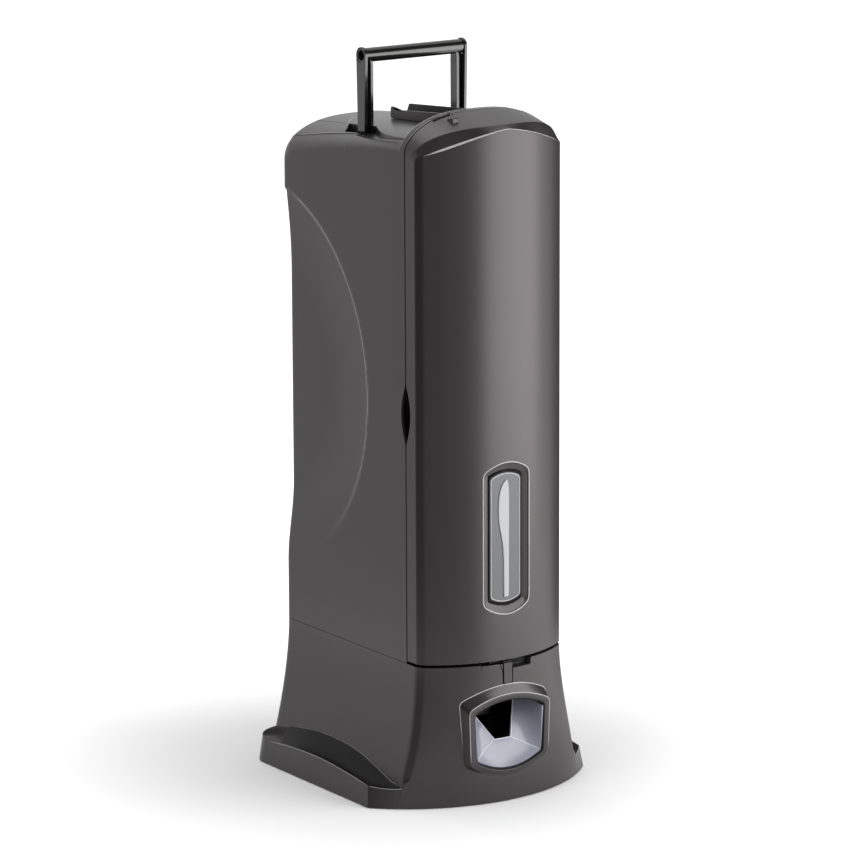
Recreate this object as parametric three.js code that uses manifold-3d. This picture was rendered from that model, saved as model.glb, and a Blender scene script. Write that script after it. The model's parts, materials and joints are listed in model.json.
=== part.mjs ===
import * as THREE from 'three';
import { mergeVertices } from 'three/addons/utils/BufferGeometryUtils.js';
import Module from 'manifold-3d';

// Counter-top knife dispenser. Millimetres, Z up from the counter, X across the front, -Y faces the user
const wasm = await Module();
wasm.setup();

// Body column, shared by the door, the rear housing and the top of the base
const bodyHalfWidth = 71.7;
const bodyRearY = 117.5;
const bodyRearCorner = 8;
const seamY = -71.5;
const seamGap = 1.2;
const frontCornerY = -89;
const frontApexY = -114.9;
const frontCornerRound = 4.5;
const wall = 2.6;
const seatGap = 0.3;
const cutOver = 6;

// Arched tops: crown on the centre line, shoulder where the sides begin to round
const archPower = 2.6;
const archRoot = 1.8;
const rimCrownZ = 577;
const rimShoulderFall = 31;
const rimShoulderZ = rimCrownZ - rimShoulderFall;
const rimDepth = 7;
const rimDraft = 0.3;
const rimEdge = 1;
const deckBelowRim = 15;
const deckCrownFall = 10.5;
const deckShoulderFall = 25;
const deckCrownFrontZ = rimCrownZ - deckBelowRim;
const deckCrownRearZ = deckCrownFrontZ - deckCrownFall;
const deckShoulderFrontZ = rimShoulderZ;
const deckShoulderRearZ = deckShoulderFrontZ - deckShoulderFall;
const deckShoulderPower = 1.7;
const deckRearRound = 9;

// Door
const doorBottomZ = 121.5;
const doorCrownFallShare = 0.23;
const doorShoulderFallShare = 0.25;
const doorTopBand = 7;
const creaseBelowRim = 10.7;
const creaseCrownZ = rimCrownZ - creaseBelowRim;
const creaseSideFall = 21.3;
const creasePower = 1.4;
const recessHalfWidth = 23;
const recessLowZ = 169;
const recessHighZ = 281;
const recessArch = 8.5;
const recessMouthShare = 1.06;
const recessSlopeShare = 0.8;
const recessDepth = 5.6;
const panelHalfWidth = 15.2;
const panelEndMargin = 5;
const panelArch = 4.5;
const panelThickness = 1.6;
const panelGap = 0.35;
const recessBackWall = 2;
const knifeHalfWidth = 5;
const knifeLowZ = 175.5;
const knifeHighZ = 274;
const knifeThickness = 0.8;
const fingerNotchLowZ = 304.5;
const fingerNotchHighZ = 355;
const fingerNotchHalfWidth = 6;
const nibX = -33;
const nibY = -84;
const nibLength = 9;
const nibWidth = 6;
const nibPeakShare = 1 / 3;
const nibHeight = 3;

// Door pivot: a cross pin in open seats, and the key tab that hangs in the slot of the base
const pivotY = -107;
const pivotZ = 115;
const pivotPinRadius = 2.5;
const pivotPinHalfLength = 17;
const pivotSeatInnerX = 9.5;
const pivotSeatOuterX = 15.5;
const pivotSeatDepth = 11;
const pivotSeatBackY = -101;
const tabHalfWidth = 4;
const tabThickness = 3;
const tabLowZ = 101.2;
const tabSetBack = 1;
const tabEyeRadius = 4.6;
const tabHeadHalfWidth = 16;
const tabHeadThickness = 2.2;
const tabHeadBackY = -99;

// Base
const baseBottomZ = 0.8;
const baseTopZ = 119;
const baseFrontFlare = 2;
const skirtLevelPower = 0.8;
const flarePower = 1.69;
const wingHalfWidth = 110;
const sideReach = wingHalfWidth - bodyHalfWidth;
const baseFlareShare = 0.56;
const baseSideFlare = baseFlareShare * sideReach;
const wingFrontY = -69;
const wingRearY = 95;
const wingFrontTopZ = 21;
const wingCrestZ = 24.8;
const wingRearSpan = 70;
const wingFrontSpan = 110;
const wingEdgeCrestY = 12;
const wingEdgeRearFall = 3.8;
const wingEdgeFrontFall = 11;
const wingEdgePower = 1.56;
const wingRootCrestY = 28;
const wingRootCrestZ = 35.2;
const wingRootRearFall = 7.1;
const wingRootFrontFall = 14.5;
const wingRootPower = 2;
const wingEdge = {
  crestY: wingEdgeCrestY, crestZ: wingCrestZ, rearFall: wingEdgeRearFall, frontFall: wingEdgeFrontFall,
  power: wingEdgePower,
};
const wingRoot = {
  crestY: wingRootCrestY, crestZ: wingRootCrestZ, rearFall: wingRootRearFall, frontFall: wingRootFrontFall,
  power: wingRootPower,
};
const wingSideDraft = 2.5;
const wingFrontDraft = 6;
const wingDishRearY = 90;
const wingDishSpan = 120;
const wingRearPower = 0.35;
const wingFrontPower = 2.2;
const wingDip = 5;
const wingShares = [0, 0.12, 0.24, 0.36, 0.48, 0.6, 0.72, 0.83, 0.92, 0.97, 1];
const wingSteps = 14;
const wingInnerShare = 0.32;
const wingBuriedShare = 0.11;
const wingInnerX = bodyHalfWidth + wingInnerShare * sideReach;
const wingBuriedX = bodyHalfWidth + wingBuriedShare * sideReach;
const ledgeWidth = 10;
const ledgeThickness = 4.5;
const keyNotchHalfWidth = 25;
const pinSeatReach = 18.7;
const keyNotchDepth = 5.6;
const keySlotHalfWidth = 5.2;
const keySlotLowZ = 99.5;

// Window in the base and the raised bezel round it
const windowHalfWidthTop = 35.5;
const windowHalfWidthLow = 34;
const windowCornerHighZ = 79.5;
const windowCornerLowZ = 38;
const windowTopZ = 88;
const windowBottomZ = 27.5;
const bezelFaceY = -118;
const bezelFaceMargin = 5;
const bezelSlope = 5.5;
const bezelRootY = -101;
const bezelTopExtra = 2;
const bezelFlushDepth = 4;

// Base plate, rubber feet and screws
const plateBottomZ = 2.2;
const plateThickness = 2.5;
const plateInset = 3;
const footSoleShare = 0.86;
const footChamferShare = 0.4;
const footRadius = 9;
const footInset = 20;
const footX = wingHalfWidth - footInset;
const footFrontY = -64;
const footRearY = 84;
const screwHeadCrownShare = 0.6;
const screwHeadRadius = 3;
const screwHeadHeight = 1.3;
const screwShankRadius = 1.3;
const screwBossRadius = 4;
const baseScrewInset = 8.7;
const baseScrewX = wingHalfWidth - baseScrewInset;
const baseScrewFrontY = -35;
const baseScrewRearY = 58;
const baseScrewLength = 9;
const housingScrewInset = 6.3;
const housingScrewX = bodyHalfWidth - housingScrewInset;
const housingScrewFrontY = -38;
const housingScrewRearY = 70;

// Housing flange, finger notches and side scallops
const housingBottomZ = 119.4;
const flangeThickness = 4.5;
const scallopY = 153;
const scallopZ = 332;
const scallopRadius = 167;
const scallopInnerRadius = 38;
const scallopStep = 1.6;
const scallopFullShare = 0.53;
const scallopFadeStart = -1.2;
const scallopFadeEnd = -0.25;
const scallopRearDepth = 6.2;
const scallopSweepDegrees = 80;
const scallopShares = [1, 0.985, 0.93, 0.86, 0.78, 0.68, 0.56, 0.44, 0];

// Carry handle, and the pockets in the deck for its feet
const armInset = 30.2;
const armSpan = 9.5;
const armSideGap = 1.5;
const armPlate = 2.6;
const armWeb = 2.4;
const armHeadRadius = 7;
const armFootRadius = 5;
const armSaddleDrop = 3;
const armInnerX = bodyHalfWidth - armInset;
const armOuterX = armInnerX + armSpan;
const pocketInnerX = armInnerX - armSideGap;
const pocketOuterInset = 15.7;
const pocketOuterX = bodyHalfWidth - pocketOuterInset;
const pocketRearY = 60;
const pocketRearOuterY = 41;
const pocketBelowDeck = 22.5;
const pocketFloorZ = deckCrownFrontZ - pocketBelowDeck;
const stepInset = 14.2;
const stepCrestX = bodyHalfWidth - stepInset;
const stepCrestY = -50;
const stepPower = 2.4;
const stepRearBelowDeck = 13;
const stepRise = 4.8;
const stepRisePower = 1.5;
const stepSteps = 12;
const handleY = 24.5;
const handleRise = 68;
const handlePivotZ = pocketFloorZ + armFootRadius + armSideGap;
const pocketFrontY = handleY - armFootRadius - armSideGap;
const handleTopZ = handlePivotZ + handleRise;
const gripRadius = 6;
const gripBore = 4.4;
const gripSetBack = 0.4;
const gripHalfLength = armOuterX - gripSetBack;
const handlePinRadius = 2.2;
const handlePinHeadRadius = 3.6;
const handlePinHeadHeight = 1.2;
const handlePinDepth = 6;
const handlePinRootX = pocketInnerX - handlePinDepth;
const handleBlockDepth = 11;
const handleBlockInnerX = pocketInnerX - handleBlockDepth;
const handleBlockReach = 9.5;
const handleBlockCover = 2.8;
const handleBlockLowZ = handlePivotZ - handleBlockReach;
const handleBlockTopZ = handlePivotZ + handleBlockCover;

// Latch slide on the deck, in a frame that follows the deck's fall
const latchHalfWidth = 9.5;
const latchWall = 2;
const latchFloor = 1.6;
const latchRearY = 43;
const latchNoseY = -71;
const latchRearHeight = 7.6;
const latchFrontHeight = 10.5;
const latchLip = 2.6;
const latchEndSlant = 5.5;
const latchTravel = 8;
const latchKeelHalfWidth = 3;
const latchKeelFrontY = -28;
const latchKeelRearY = -16;
const latchKeelDrop = 13;
const retainerGapShare = 1.5;
const latchRetainerHalfWidth = 9;
const latchRetainerThickness = 2;
const latchRetainerMargin = 4;
const latchSpringLength = 28;
const latchSpringRadius = 3;
const latchSpringWire = 0.45;
const latchSpringDrop = 8.6;
const latchBracketHalfWidth = 7;
const latchBracketThickness = 2.6;
const keeperHalfWidth = 9;
const keeperThickness = 2.4;
const keeperDrop = 16;
const keeperFlange = 9;

// Magazine
const guideInnerX = 33.5;
const guideWeb = 2.2;
const guideFrontY = -58;
const guideRearY = 96;
const guideTopZ = 512;
const guideWallGap = 0.4;
const sightWidth = 24;
const sightHeight = 66;
const sightPitch = 88;
const sightLowZ = 172;
const sightFrontY = -24;
const sightRearY = 64;
const sightRows = 4;
const pinSlotY = 20;
const pinSlotHalfWidth = 3.6;
const followerTravel = 300;
const followerBottomZ = 131;
const followerHeight = 18;
const followerSideGap = 2.5;
const followerFrontY = -50;
const followerRearY = 88;
const followerEndRound = 7;
const followerPinRadius = 3;
const followerPinReach = 5.5;
const knobNeckShare = 1 / 3;
const knobRimShare = 0.8;
const knobTopShare = 0.7;
const knobRadius = 11;
const knobHeight = 14;
const knobNeckRadius = 5;

// Hopper, shuttle and its track
const hopperFlange = 2.5;
const hopperHalfWidth = 32;
const hopperFrontY = -56;
const hopperRearY = 94;
const hopperThroatHalfWidth = 11;
const hopperThroatFrontY = -66;
const hopperThroatZ = 62;
const hopperWall = 2.4;
const hopperFlangeFrontY = -66;
const hopperFlangeRearY = 100;
const shuttleHalfWidth = 17;
const shuttleFrontY = -76;
const shuttleRearY = 86;
const shuttleBottomZ = 44;
const shuttleTopZ = 61.3;
const troughTopHalfWidth = 10;
const troughLowHalfWidth = 4.5;
const troughLowZ = 50;
const pusherThickness = 4;
const pusherInset = 3;
const guideRibHalfWidth = 14.4;
const guideRibDepth = 5;
const keelHalfWidth = 6;
const keelY = 38;
const keelThickness = 4;
const keelLowZ = 21;
const trackHalfWidth = 24;
const trackWall = 2.5;
const trackLedgeInnerX = 14.9;
const trackFrontY = -66;
const trackRearY = 104;
const springStopY = 74;
const springStopTopZ = 37;
const returnSpringRadius = 5;
const returnSpringWire = 0.7;
const returnSpringZ = 29;

// Scoop in the window, and its axle
const scoopRimY = -117;
const scoopRimGap = 2.3;
const scoopWall = 1.8;
const scoopVeeHalfWidth = 7.8;
const scoopVeeZ = 52;
const scoopVeeY = -107;
const scoopBackHalfWidth = 26;
const scoopBackY = -84;
const scoopBackZ = 84;
const scoopSideBowShare = 0.8;
const scoopFloorBowShare = 0.2;
const scoopBow = 2.4;
const scoopVeeStart = 0.36;
const axleY = -92;
const axleZ = 24;
const axleRadius = 2.4;
const axleHalfLength = 41;
const scoopHubRadius = 6;
const cheekInnerX = 11;
const cheekOuterX = 14.5;
const cheekNoseRadius = 3;
const cheekNoseRise = 34;
const axleLugInnerX = 36;
const axleLugOuterX = 40;
const axleLugRadius = 6.4;
const axleLugFoot = 9;

// Colours seen on the object
const abs = { color: 0x4f4c4d, roughness: 0.38, metalness: 0 };
const glossBlack = { color: 0x151515, roughness: 0.18, metalness: 0 };
const paleGrey = { color: 0xc9ccd6, roughness: 0.22, metalness: 0 };
const innerGrey = { color: 0x3a393b, roughness: 0.5, metalness: 0 };
const panelGrey = { color: 0x77787b, roughness: 0.42, metalness: 0 };
const markGrey = { color: 0xdcdcde, roughness: 0.45, metalness: 0 };
const steel = { color: 0xa4a6aa, roughness: 0.3, metalness: 1 };
const rubber = { color: 0x1b1b1b, roughness: 0.85, metalness: 0 };

const degree = Math.PI / 180;
const deckFall = (deckCrownFrontZ - deckCrownRearZ) / (bodyRearY - seamY);
const deckPitch = Math.atan(deckFall);

// Closed meshes in and out of the cutting library
function toSolid(source) {
  const geometry = source.clone();
  geometry.deleteAttribute('normal');
  geometry.deleteAttribute('uv');
  const merged = mergeVertices(geometry, 1e-4);
  const points = merged.attributes.position.array;
  const corners = [];
  for (let k = 0; k < merged.index.count; k += 3) {
    const [a, b, c] = [merged.index.getX(k), merged.index.getX(k + 1), merged.index.getX(k + 2)];
    if (a !== b && b !== c && a !== c) corners.push(a, b, c);
  }
  if (signedVolume(points, corners) < 0) corners.reverse();
  return new wasm.Manifold(new wasm.Mesh({
    numProp: 3,
    vertProperties: Float32Array.from(points),
    triVerts: Uint32Array.from(corners),
  }));
}

function signedVolume(points, corners) {
  let sum = 0;
  const at = (k) => new THREE.Vector3(points[3 * k], points[3 * k + 1], points[3 * k + 2]);
  for (let k = 0; k < corners.length; k += 3) {
    sum += at(corners[k]).dot(at(corners[k + 1]).cross(at(corners[k + 2])));
  }
  return sum;
}

function toGeometry(solid) {
  const mesh = solid.getMesh();
  const geometry = new THREE.BufferGeometry();
  geometry.setAttribute('position', new THREE.BufferAttribute(Float32Array.from(mesh.vertProperties), 3));
  geometry.setIndex(Array.from(mesh.triVerts));
  geometry.computeVertexNormals();
  return geometry;
}

const join = (first, ...others) => others.reduce((sum, solid) => sum.add(solid), first);
const cut = (first, ...others) => others.reduce((rest, solid) => rest.subtract(solid), first);

// A closed solid between two facing surfaces, each a function of the listed u and v values
function slab(us, vs, near, far) {
  const positions = [];
  const index = [];
  const row = vs.length;
  const count = us.length * row;
  for (const face of [near, far]) {
    for (const u of us) {
      for (const v of vs) positions.push(...face(u, v));
    }
  }
  const at = (side, i, j) => side * count + i * row + j;
  const quad = (a, b, c, d) => index.push(a, b, c, a, c, d);
  for (let i = 0; i < us.length - 1; i += 1) {
    for (let j = 0; j < vs.length - 1; j += 1) {
      quad(at(0, i, j), at(0, i + 1, j), at(0, i + 1, j + 1), at(0, i, j + 1));
      quad(at(1, i, j), at(1, i, j + 1), at(1, i + 1, j + 1), at(1, i + 1, j));
    }
  }
  const lastU = us.length - 1;
  const lastV = vs.length - 1;
  for (let i = 0; i < lastU; i += 1) {
    quad(at(0, i, 0), at(1, i, 0), at(1, i + 1, 0), at(0, i + 1, 0));
    quad(at(0, i, lastV), at(0, i + 1, lastV), at(1, i + 1, lastV), at(1, i, lastV));
  }
  for (let j = 0; j < lastV; j += 1) {
    quad(at(0, 0, j), at(0, 0, j + 1), at(1, 0, j + 1), at(1, 0, j));
    quad(at(0, lastU, j), at(1, lastU, j), at(1, lastU, j + 1), at(0, lastU, j + 1));
  }
  return toSolid(indexed(positions, index));
}

function indexed(positions, index) {
  const geometry = new THREE.BufferGeometry();
  geometry.setAttribute('position', new THREE.Float32BufferAttribute(positions, 3));
  geometry.setIndex(index);
  return geometry;
}

// A closed solid through rings of equal length; flat picks the two coordinates that span the end caps
function loft(rings, flat) {
  const size = rings[0].length;
  const index = [];
  for (let k = 0; k < rings.length - 1; k += 1) {
    for (let i = 0; i < size; i += 1) {
      const next = (i + 1) % size;
      const [a, b] = [k * size + i, k * size + next];
      index.push(a, b, b + size, a, b + size, a + size);
    }
  }
  [rings[0], rings[rings.length - 1]].forEach((ring, end) => {
    const outline = ring.map(flat);
    const turn = Math.sign(THREE.ShapeUtils.area(outline));
    for (const face of THREE.ShapeUtils.triangulateShape(outline, [])) {
      const side = Math.sign(THREE.ShapeUtils.area(face.map((k) => outline[k])));
      const ordered = side === turn ? face : [...face].reverse();
      const offset = end ? (rings.length - 1) * size : 0;
      index.push(...(end ? ordered : [...ordered].reverse()).map((k) => k + offset));
    }
  });
  return toSolid(indexed(rings.flat(2), index));
}

const flatXY = ([x, y]) => new THREE.Vector2(x, y);
const flatXZ = ([x, , z]) => new THREE.Vector2(x, z);

// Prisms along each axis from a shape drawn in the plane across it
const alongX = new THREE.Matrix4().makeBasis(
  new THREE.Vector3(0, 1, 0), new THREE.Vector3(0, 0, 1), new THREE.Vector3(1, 0, 0));
const alongY = new THREE.Matrix4().makeBasis(
  new THREE.Vector3(1, 0, 0), new THREE.Vector3(0, 0, 1), new THREE.Vector3(0, -1, 0));

function prism(shape, from, to, turn, segments = 6) {
  const geometry = new THREE.ExtrudeGeometry(shape, {
    depth: to - from, bevelEnabled: false, curveSegments: segments,
  });
  geometry.translate(0, 0, from);
  if (turn) geometry.applyMatrix4(turn);
  return toSolid(geometry);
}

const prismX = (shape, x0, x1, segments) => prism(shape, Math.min(x0, x1), Math.max(x0, x1), alongX, segments);
const prismY = (shape, y0, y1, segments) => prism(shape, -y1, -y0, alongY, segments);
const prismZ = (shape, z0, z1, segments) => prism(shape, z0, z1, null, segments);
const polygon = (points) => new THREE.Shape(points.map(([a, b]) => new THREE.Vector2(a, b)));

function box(x0, x1, y0, y1, z0, z1) {
  const geometry = new THREE.BoxGeometry(Math.abs(x1 - x0), Math.abs(y1 - y0), Math.abs(z1 - z0));
  geometry.translate((x0 + x1) / 2, (y0 + y1) / 2, (z0 + z1) / 2);
  return toSolid(geometry);
}

function rod(radius, from, to, centre, axis, segments = 16) {
  const geometry = new THREE.CylinderGeometry(radius, radius, Math.abs(to - from), segments);
  if (axis === 'x') geometry.rotateZ(-Math.PI / 2);
  if (axis === 'z') geometry.rotateX(Math.PI / 2);
  const middle = (from + to) / 2;
  if (axis === 'x') geometry.translate(middle, centre[0], centre[1]);
  if (axis === 'y') geometry.translate(centre[0], middle, centre[1]);
  if (axis === 'z') geometry.translate(centre[0], centre[1], middle);
  return toSolid(geometry);
}

const series = (count, pick) => Array.from({ length: count + 1 }, (_, k) => pick(k / count));
const evenShares = (count) => series(count, (t) => t);
// Values from -1 to 1 that crowd towards both ends, where the corners turn
const crowdedShares = (count) => series(count, (t) => Math.sin((t - 0.5) * Math.PI));

const roundDrop = (radius, distance) => {
  if (distance >= radius) return 0;
  return radius - Math.sqrt(Math.max(0, radius ** 2 - (radius - distance) ** 2));
};

// Front of the column in plan: an arc that turns into the sides through a round corner
const frontShape = { halfWidth: bodyHalfWidth, apexY: frontApexY, cornerY: frontCornerY, round: frontCornerRound };

function frontY(x, inset, { halfWidth, apexY, cornerY, round } = frontShape) {
  const bulge = cornerY - apexY;
  const radius = (halfWidth ** 2 + bulge ** 2) / (2 * bulge);
  const reach = Math.min(Math.abs(x), halfWidth - inset);
  const arc = apexY + radius - Math.sqrt((radius - inset) ** 2 - reach ** 2);
  return arc + roundDrop(round, halfWidth - inset - reach);
}

function rearY(x, inset, halfWidth = bodyHalfWidth) {
  return bodyRearY - inset - roundDrop(bodyRearCorner, halfWidth - inset - Math.abs(x));
}

// Closed plan outline of the column or the flared base
function planRing(halfWidth, inset, front, rear, z) {
  const width = halfWidth - inset;
  const across = crowdedShares(22).map((share) => share * width);
  const back = crowdedShares(12).map((share) => -share * width);
  return [
    ...across.map((x) => [x, front(x, inset), z]),
    ...back.map((x) => [x, rear(x, inset), z]),
  ];
}

function arch(x, crown, shoulder, halfWidth = bodyHalfWidth) {
  const share = Math.min(1, Math.abs(x) / halfWidth);
  return shoulder + (crown - shoulder) * Math.max(0, 1 - share ** archPower) ** (1 / archRoot);
}

// Rear housing: deck and rim heights
const housingFrontY = seamY + seamGap / 2;
const rimBackY = housingFrontY + rimDepth;
const deckCrownZ = (y) => deckCrownFrontZ - deckFall * (y - seamY);
const deckShoulderZ = (y) => {
  const share = Math.max(0, (y - seamY) / (bodyRearY - seamY));
  return deckShoulderFrontZ - (deckShoulderFrontZ - deckShoulderRearZ) * share ** deckShoulderPower;
};

function deckZ(x, y, halfWidth = bodyHalfWidth) {
  return arch(x, deckCrownZ(y), deckShoulderZ(y), halfWidth);
}

function housingTopZ(x, y) {
  if (y > rimBackY) return deckZ(x, y) - roundDrop(deckRearRound, rearY(x, 0) - y);
  const edge = y <= housingFrontY || y >= rimBackY ? rimEdge : 0;
  return arch(x, rimCrownZ, rimShoulderZ) - edge;
}

const columnShares = crowdedShares(28);

function housingOuter() {
  const rimShares = [0, 0.16, 0.84, 1];
  const deckShares = [...evenShares(9).map((t) => 0.92 * t), 0.95, 0.975, 0.992, 1];
  const deckStart = rimBackY + rimDraft;
  const rows = [
    ...rimShares.map((share) => () => housingFrontY + share * rimDepth),
    ...deckShares.map((share) => (x) => deckStart + share * (rearY(x, 0) - deckStart)),
  ];
  const spot = (share, row) => [share * bodyHalfWidth, rows[row](share * bodyHalfWidth)];
  const lines = rows.map((_, k) => k);
  return slab(columnShares, lines,
    (share, row) => {
      const [x, y] = spot(share, row);
      return [x, y, housingTopZ(x, y)];
    },
    (share, row) => [...spot(share, row), housingBottomZ]);
}

function housingCavity() {
  const width = bodyHalfWidth - wall;
  const start = housingFrontY - cutOver;
  const spot = (share, t) => {
    const x = share * width;
    return [x, start + t * (rearY(x, wall) - start)];
  };
  const shares = [...evenShares(8).map((t) => 0.93 * t), 0.97, 1];
  return slab(columnShares, shares,
    (share, t) => {
      const [x, y] = spot(share, t);
      const lowered = arch(x, deckCrownZ(y) - wall, deckShoulderZ(y) - wall, width);
      return [x, y, lowered - roundDrop(deckRearRound, rearY(x, wall) - y)];
    },
    (share, t) => [...spot(share, t), housingBottomZ + flangeThickness]);
}

// Side scallop: a shallow dish with a crisp step at its top and front; low down it starts smoothly
function scallopDepth(angle, radius) {
  const rise = THREE.MathUtils.smoothstep(angle, scallopFadeStart, scallopFadeEnd);
  const inward = Math.min(1, (scallopRadius - radius) / (scallopRadius - scallopInnerRadius) / scallopFullShare);
  const quick = Math.sin(inward * Math.PI / 2);
  const smooth = (1 - Math.cos(inward * Math.PI)) / 2;
  const step = rise * scallopStep;
  return step + (scallopRearDepth - step) * THREE.MathUtils.lerp(smooth, quick, rise)
    - (radius < scallopRadius ? 0 : (1 - rise) * rimEdge);
}

function scallopSlab(side, nearX, farX) {
  const angles = evenShares(22).map((t) => (2 * t - 1) * scallopSweepDegrees * degree);
  const radii = scallopShares.map(
    (share) => scallopInnerRadius + share * (scallopRadius - scallopInnerRadius));
  const spot = (angle, radius) => [scallopY - radius * Math.cos(angle), scallopZ + radius * Math.sin(angle)];
  return slab(angles, radii,
    (angle, radius) => [side * nearX(scallopDepth(angle, radius)), ...spot(angle, radius)],
    (angle, radius) => [side * farX, ...spot(angle, radius)]);
}

const scallopCutter = (side) => scallopSlab(side, (depth) => bodyHalfWidth - depth, bodyHalfWidth + cutOver);

// The wall follows the scallop on the inside too
function scallopBacking(side) {
  const layer = scallopSlab(side, (depth) => bodyHalfWidth - wall - Math.max(depth, seatGap),
    bodyHalfWidth - wall + seatGap);
  const within = box(-bodyHalfWidth, bodyHalfWidth, seamY + seamGap, bodyRearY - wall / 2,
    housingBottomZ, handleTopZ);
  return layer.intersect(within);
}

// Lens-shaped finger notch across the seam
function fingerNotch(side) {
  const middle = (fingerNotchLowZ + fingerNotchHighZ) / 2;
  const half = (fingerNotchHighZ - fingerNotchLowZ) / 2;
  const lens = [];
  for (const share of evenShares(8)) lens.push([seamY - fingerNotchHalfWidth * Math.sin(share * Math.PI),
    middle - half + 2 * half * share]);
  for (const share of evenShares(8).slice(1, -1)) lens.push([
    seamY + fingerNotchHalfWidth * Math.sin(share * Math.PI), middle + half - 2 * half * share]);
  return prismX(polygon(lens), side * (bodyHalfWidth - wall - cutOver), side * (bodyHalfWidth + cutOver));
}

// Pocket for an arm's foot, grown outwards by a margin: its rear end runs at a slant
function pocketPrism(side, grow, lowZ) {
  const outline = [
    [pocketInnerX - grow, pocketFrontY - grow],
    [pocketOuterX + grow, pocketFrontY - grow],
    [pocketOuterX + grow, pocketRearOuterY + grow],
    [pocketInnerX - grow, pocketRearY + grow],
  ];
  return prismZ(polygon(outline.map(([x, y]) => [side * x, y])), lowZ, handleTopZ);
}

// Step in the deck's shoulder in front of the foot: its inner wall sweeps outwards, its floor rises to the rim
const stepLength = pocketFrontY - stepCrestY;
const stepX = (y) => stepCrestX - (stepCrestX - pocketInnerX) * Math.abs((y - stepCrestY) / stepLength) ** stepPower;
const stepZ = (y) => deckCrownFrontZ - stepRearBelowDeck
  + stepRise * ((pocketFrontY - y) / stepLength) ** stepRisePower;

function stepSlab(side, lower, outerX, grow) {
  const frontY = rimBackY + rimDraft - grow;
  const spot = (share, t) => {
    const y = frontY + t * (pocketFrontY - frontY);
    const start = stepX(y) - grow;
    return [side * (start + share * (outerX - start)), y];
  };
  return slab([0, 1], evenShares(stepSteps),
    (share, t) => {
      const [x, y] = spot(share, t);
      return [x, y, stepZ(y) - lower];
    },
    (share, t) => [...spot(share, t), handleTopZ]);
}

// A box given in the deck's own falling frame, seen from the row's frame
function deckBox(x0, x1, y0, y1, z0, z1) {
  const geometry = new THREE.BoxGeometry(x1 - x0, y1 - y0, z1 - z0);
  geometry.translate((x0 + x1) / 2, (y0 + y1) / 2, (z0 + z1) / 2);
  geometry.rotateX(-deckPitch);
  geometry.translate(0, 0, deckCrownZ(0));
  return toSolid(geometry);
}

const latchBracketFrontY = latchKeelRearY + latchSpringLength + 2 * seatGap;

function rearHousing() {
  const passage = ledgeWidth;
  const opening = loft([housingBottomZ - cutOver, housingBottomZ + flangeThickness + seatGap].map((z) => planRing(
    bodyHalfWidth, passage, () => housingFrontY - cutOver, rearY, z)), flatXY);
  let shell = cut(housingOuter(), housingCavity(), opening);
  for (const side of [-1, 1]) {
    const block = box(side * handleBlockInnerX, side * (pocketInnerX + seatGap), handleY - handleBlockReach,
      handleY + handleBlockReach, handleBlockLowZ, handleBlockTopZ);
    const cup = pocketPrism(side, wall, pocketFloorZ - wall);
    const backing = stepSlab(side, wall, bodyHalfWidth - wall / 2, wall / 2);
    shell = join(shell, block, cup.intersect(housingOuter()), backing.intersect(housingOuter()),
      scallopBacking(side));
  }
  const bracket = deckBox(-latchBracketHalfWidth, latchBracketHalfWidth, latchBracketFrontY,
    latchBracketFrontY + latchBracketThickness, -latchKeelDrop, -wall / 2);
  shell = join(shell, bracket);
  const screwHole = (x, y) => rod(screwShankRadius + seatGap, housingBottomZ - cutOver,
    housingBottomZ + flangeThickness + cutOver, [x, y], 'z', 12);
  for (const side of [-1, 1]) {
    const pinHole = rod(handlePinRadius + seatGap, side * (handlePinRootX - seatGap),
      side * (pocketInnerX + cutOver), [handleY, handlePivotZ], 'x');
    shell = cut(shell, pocketPrism(side, 0, pocketFloorZ), stepSlab(side, 0, bodyHalfWidth + cutOver, 0), pinHole, scallopCutter(side), fingerNotch(side),
      screwHole(side * housingScrewX, housingScrewFrontY), screwHole(side * housingScrewX, housingScrewRearY));
  }
  const noseGap = 2 * seatGap;
  const rimWindow = deckBox(-latchHalfWidth - noseGap, latchHalfWidth + noseGap, seamY - rimDepth,
    rimBackY + rimDepth / 2, seatGap / 2, latchFrontHeight + noseGap);
  const keelSlot = deckBox(-latchKeelHalfWidth - noseGap, latchKeelHalfWidth + noseGap,
    latchKeelFrontY - noseGap, latchKeelRearY + latchTravel + noseGap, -wall * 2, wall);
  return cut(shell, rimWindow, keelSlot);
}

// Door: the bowed front with an arched top that falls forwards to a crease
const doorBackY = seamY - seamGap / 2;

function doorTopZ(x, y, inset) {
  const fall = seamY - y;
  const crown = rimCrownZ - doorCrownFallShare * fall - inset;
  const shoulder = rimShoulderZ - doorShoulderFallShare * fall - inset;
  return arch(x, crown, shoulder, bodyHalfWidth - inset);
}

function doorHeight(x, y, inset) {
  const top = doorTopZ(x, y, inset);
  const depth = y - frontY(x, inset);
  if (depth >= doorTopBand) return top;
  const crease = creaseCrownZ - inset - creaseSideFall * (Math.abs(x) / bodyHalfWidth) ** creasePower;
  const share = 1 - depth / doorTopBand;
  return Math.min(top, crease + (top - crease) * Math.sqrt(1 - share ** 2));
}

function doorBody(inset, backY, bottomZ) {
  const bandShares = [0, 0.05, 0.2, 0.5, 1];
  const width = bodyHalfWidth - inset;
  const rows = [
    ...bandShares.map((share) => (x) => frontY(x, inset) + share * doorTopBand),
    ...evenShares(4).slice(1).map((share) => (x) => {
      const start = frontY(x, inset) + doorTopBand;
      return start + share * (backY - start);
    }),
  ];
  const spot = (share, row) => [share * width, rows[row](share * width)];
  return slab(columnShares, rows.map((_, k) => k),
    (share, row) => {
      const [x, y] = spot(share, row);
      return [x, y, doorHeight(x, y, inset)];
    },
    (share, row) => [...spot(share, row), bottomZ]);
}

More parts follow.
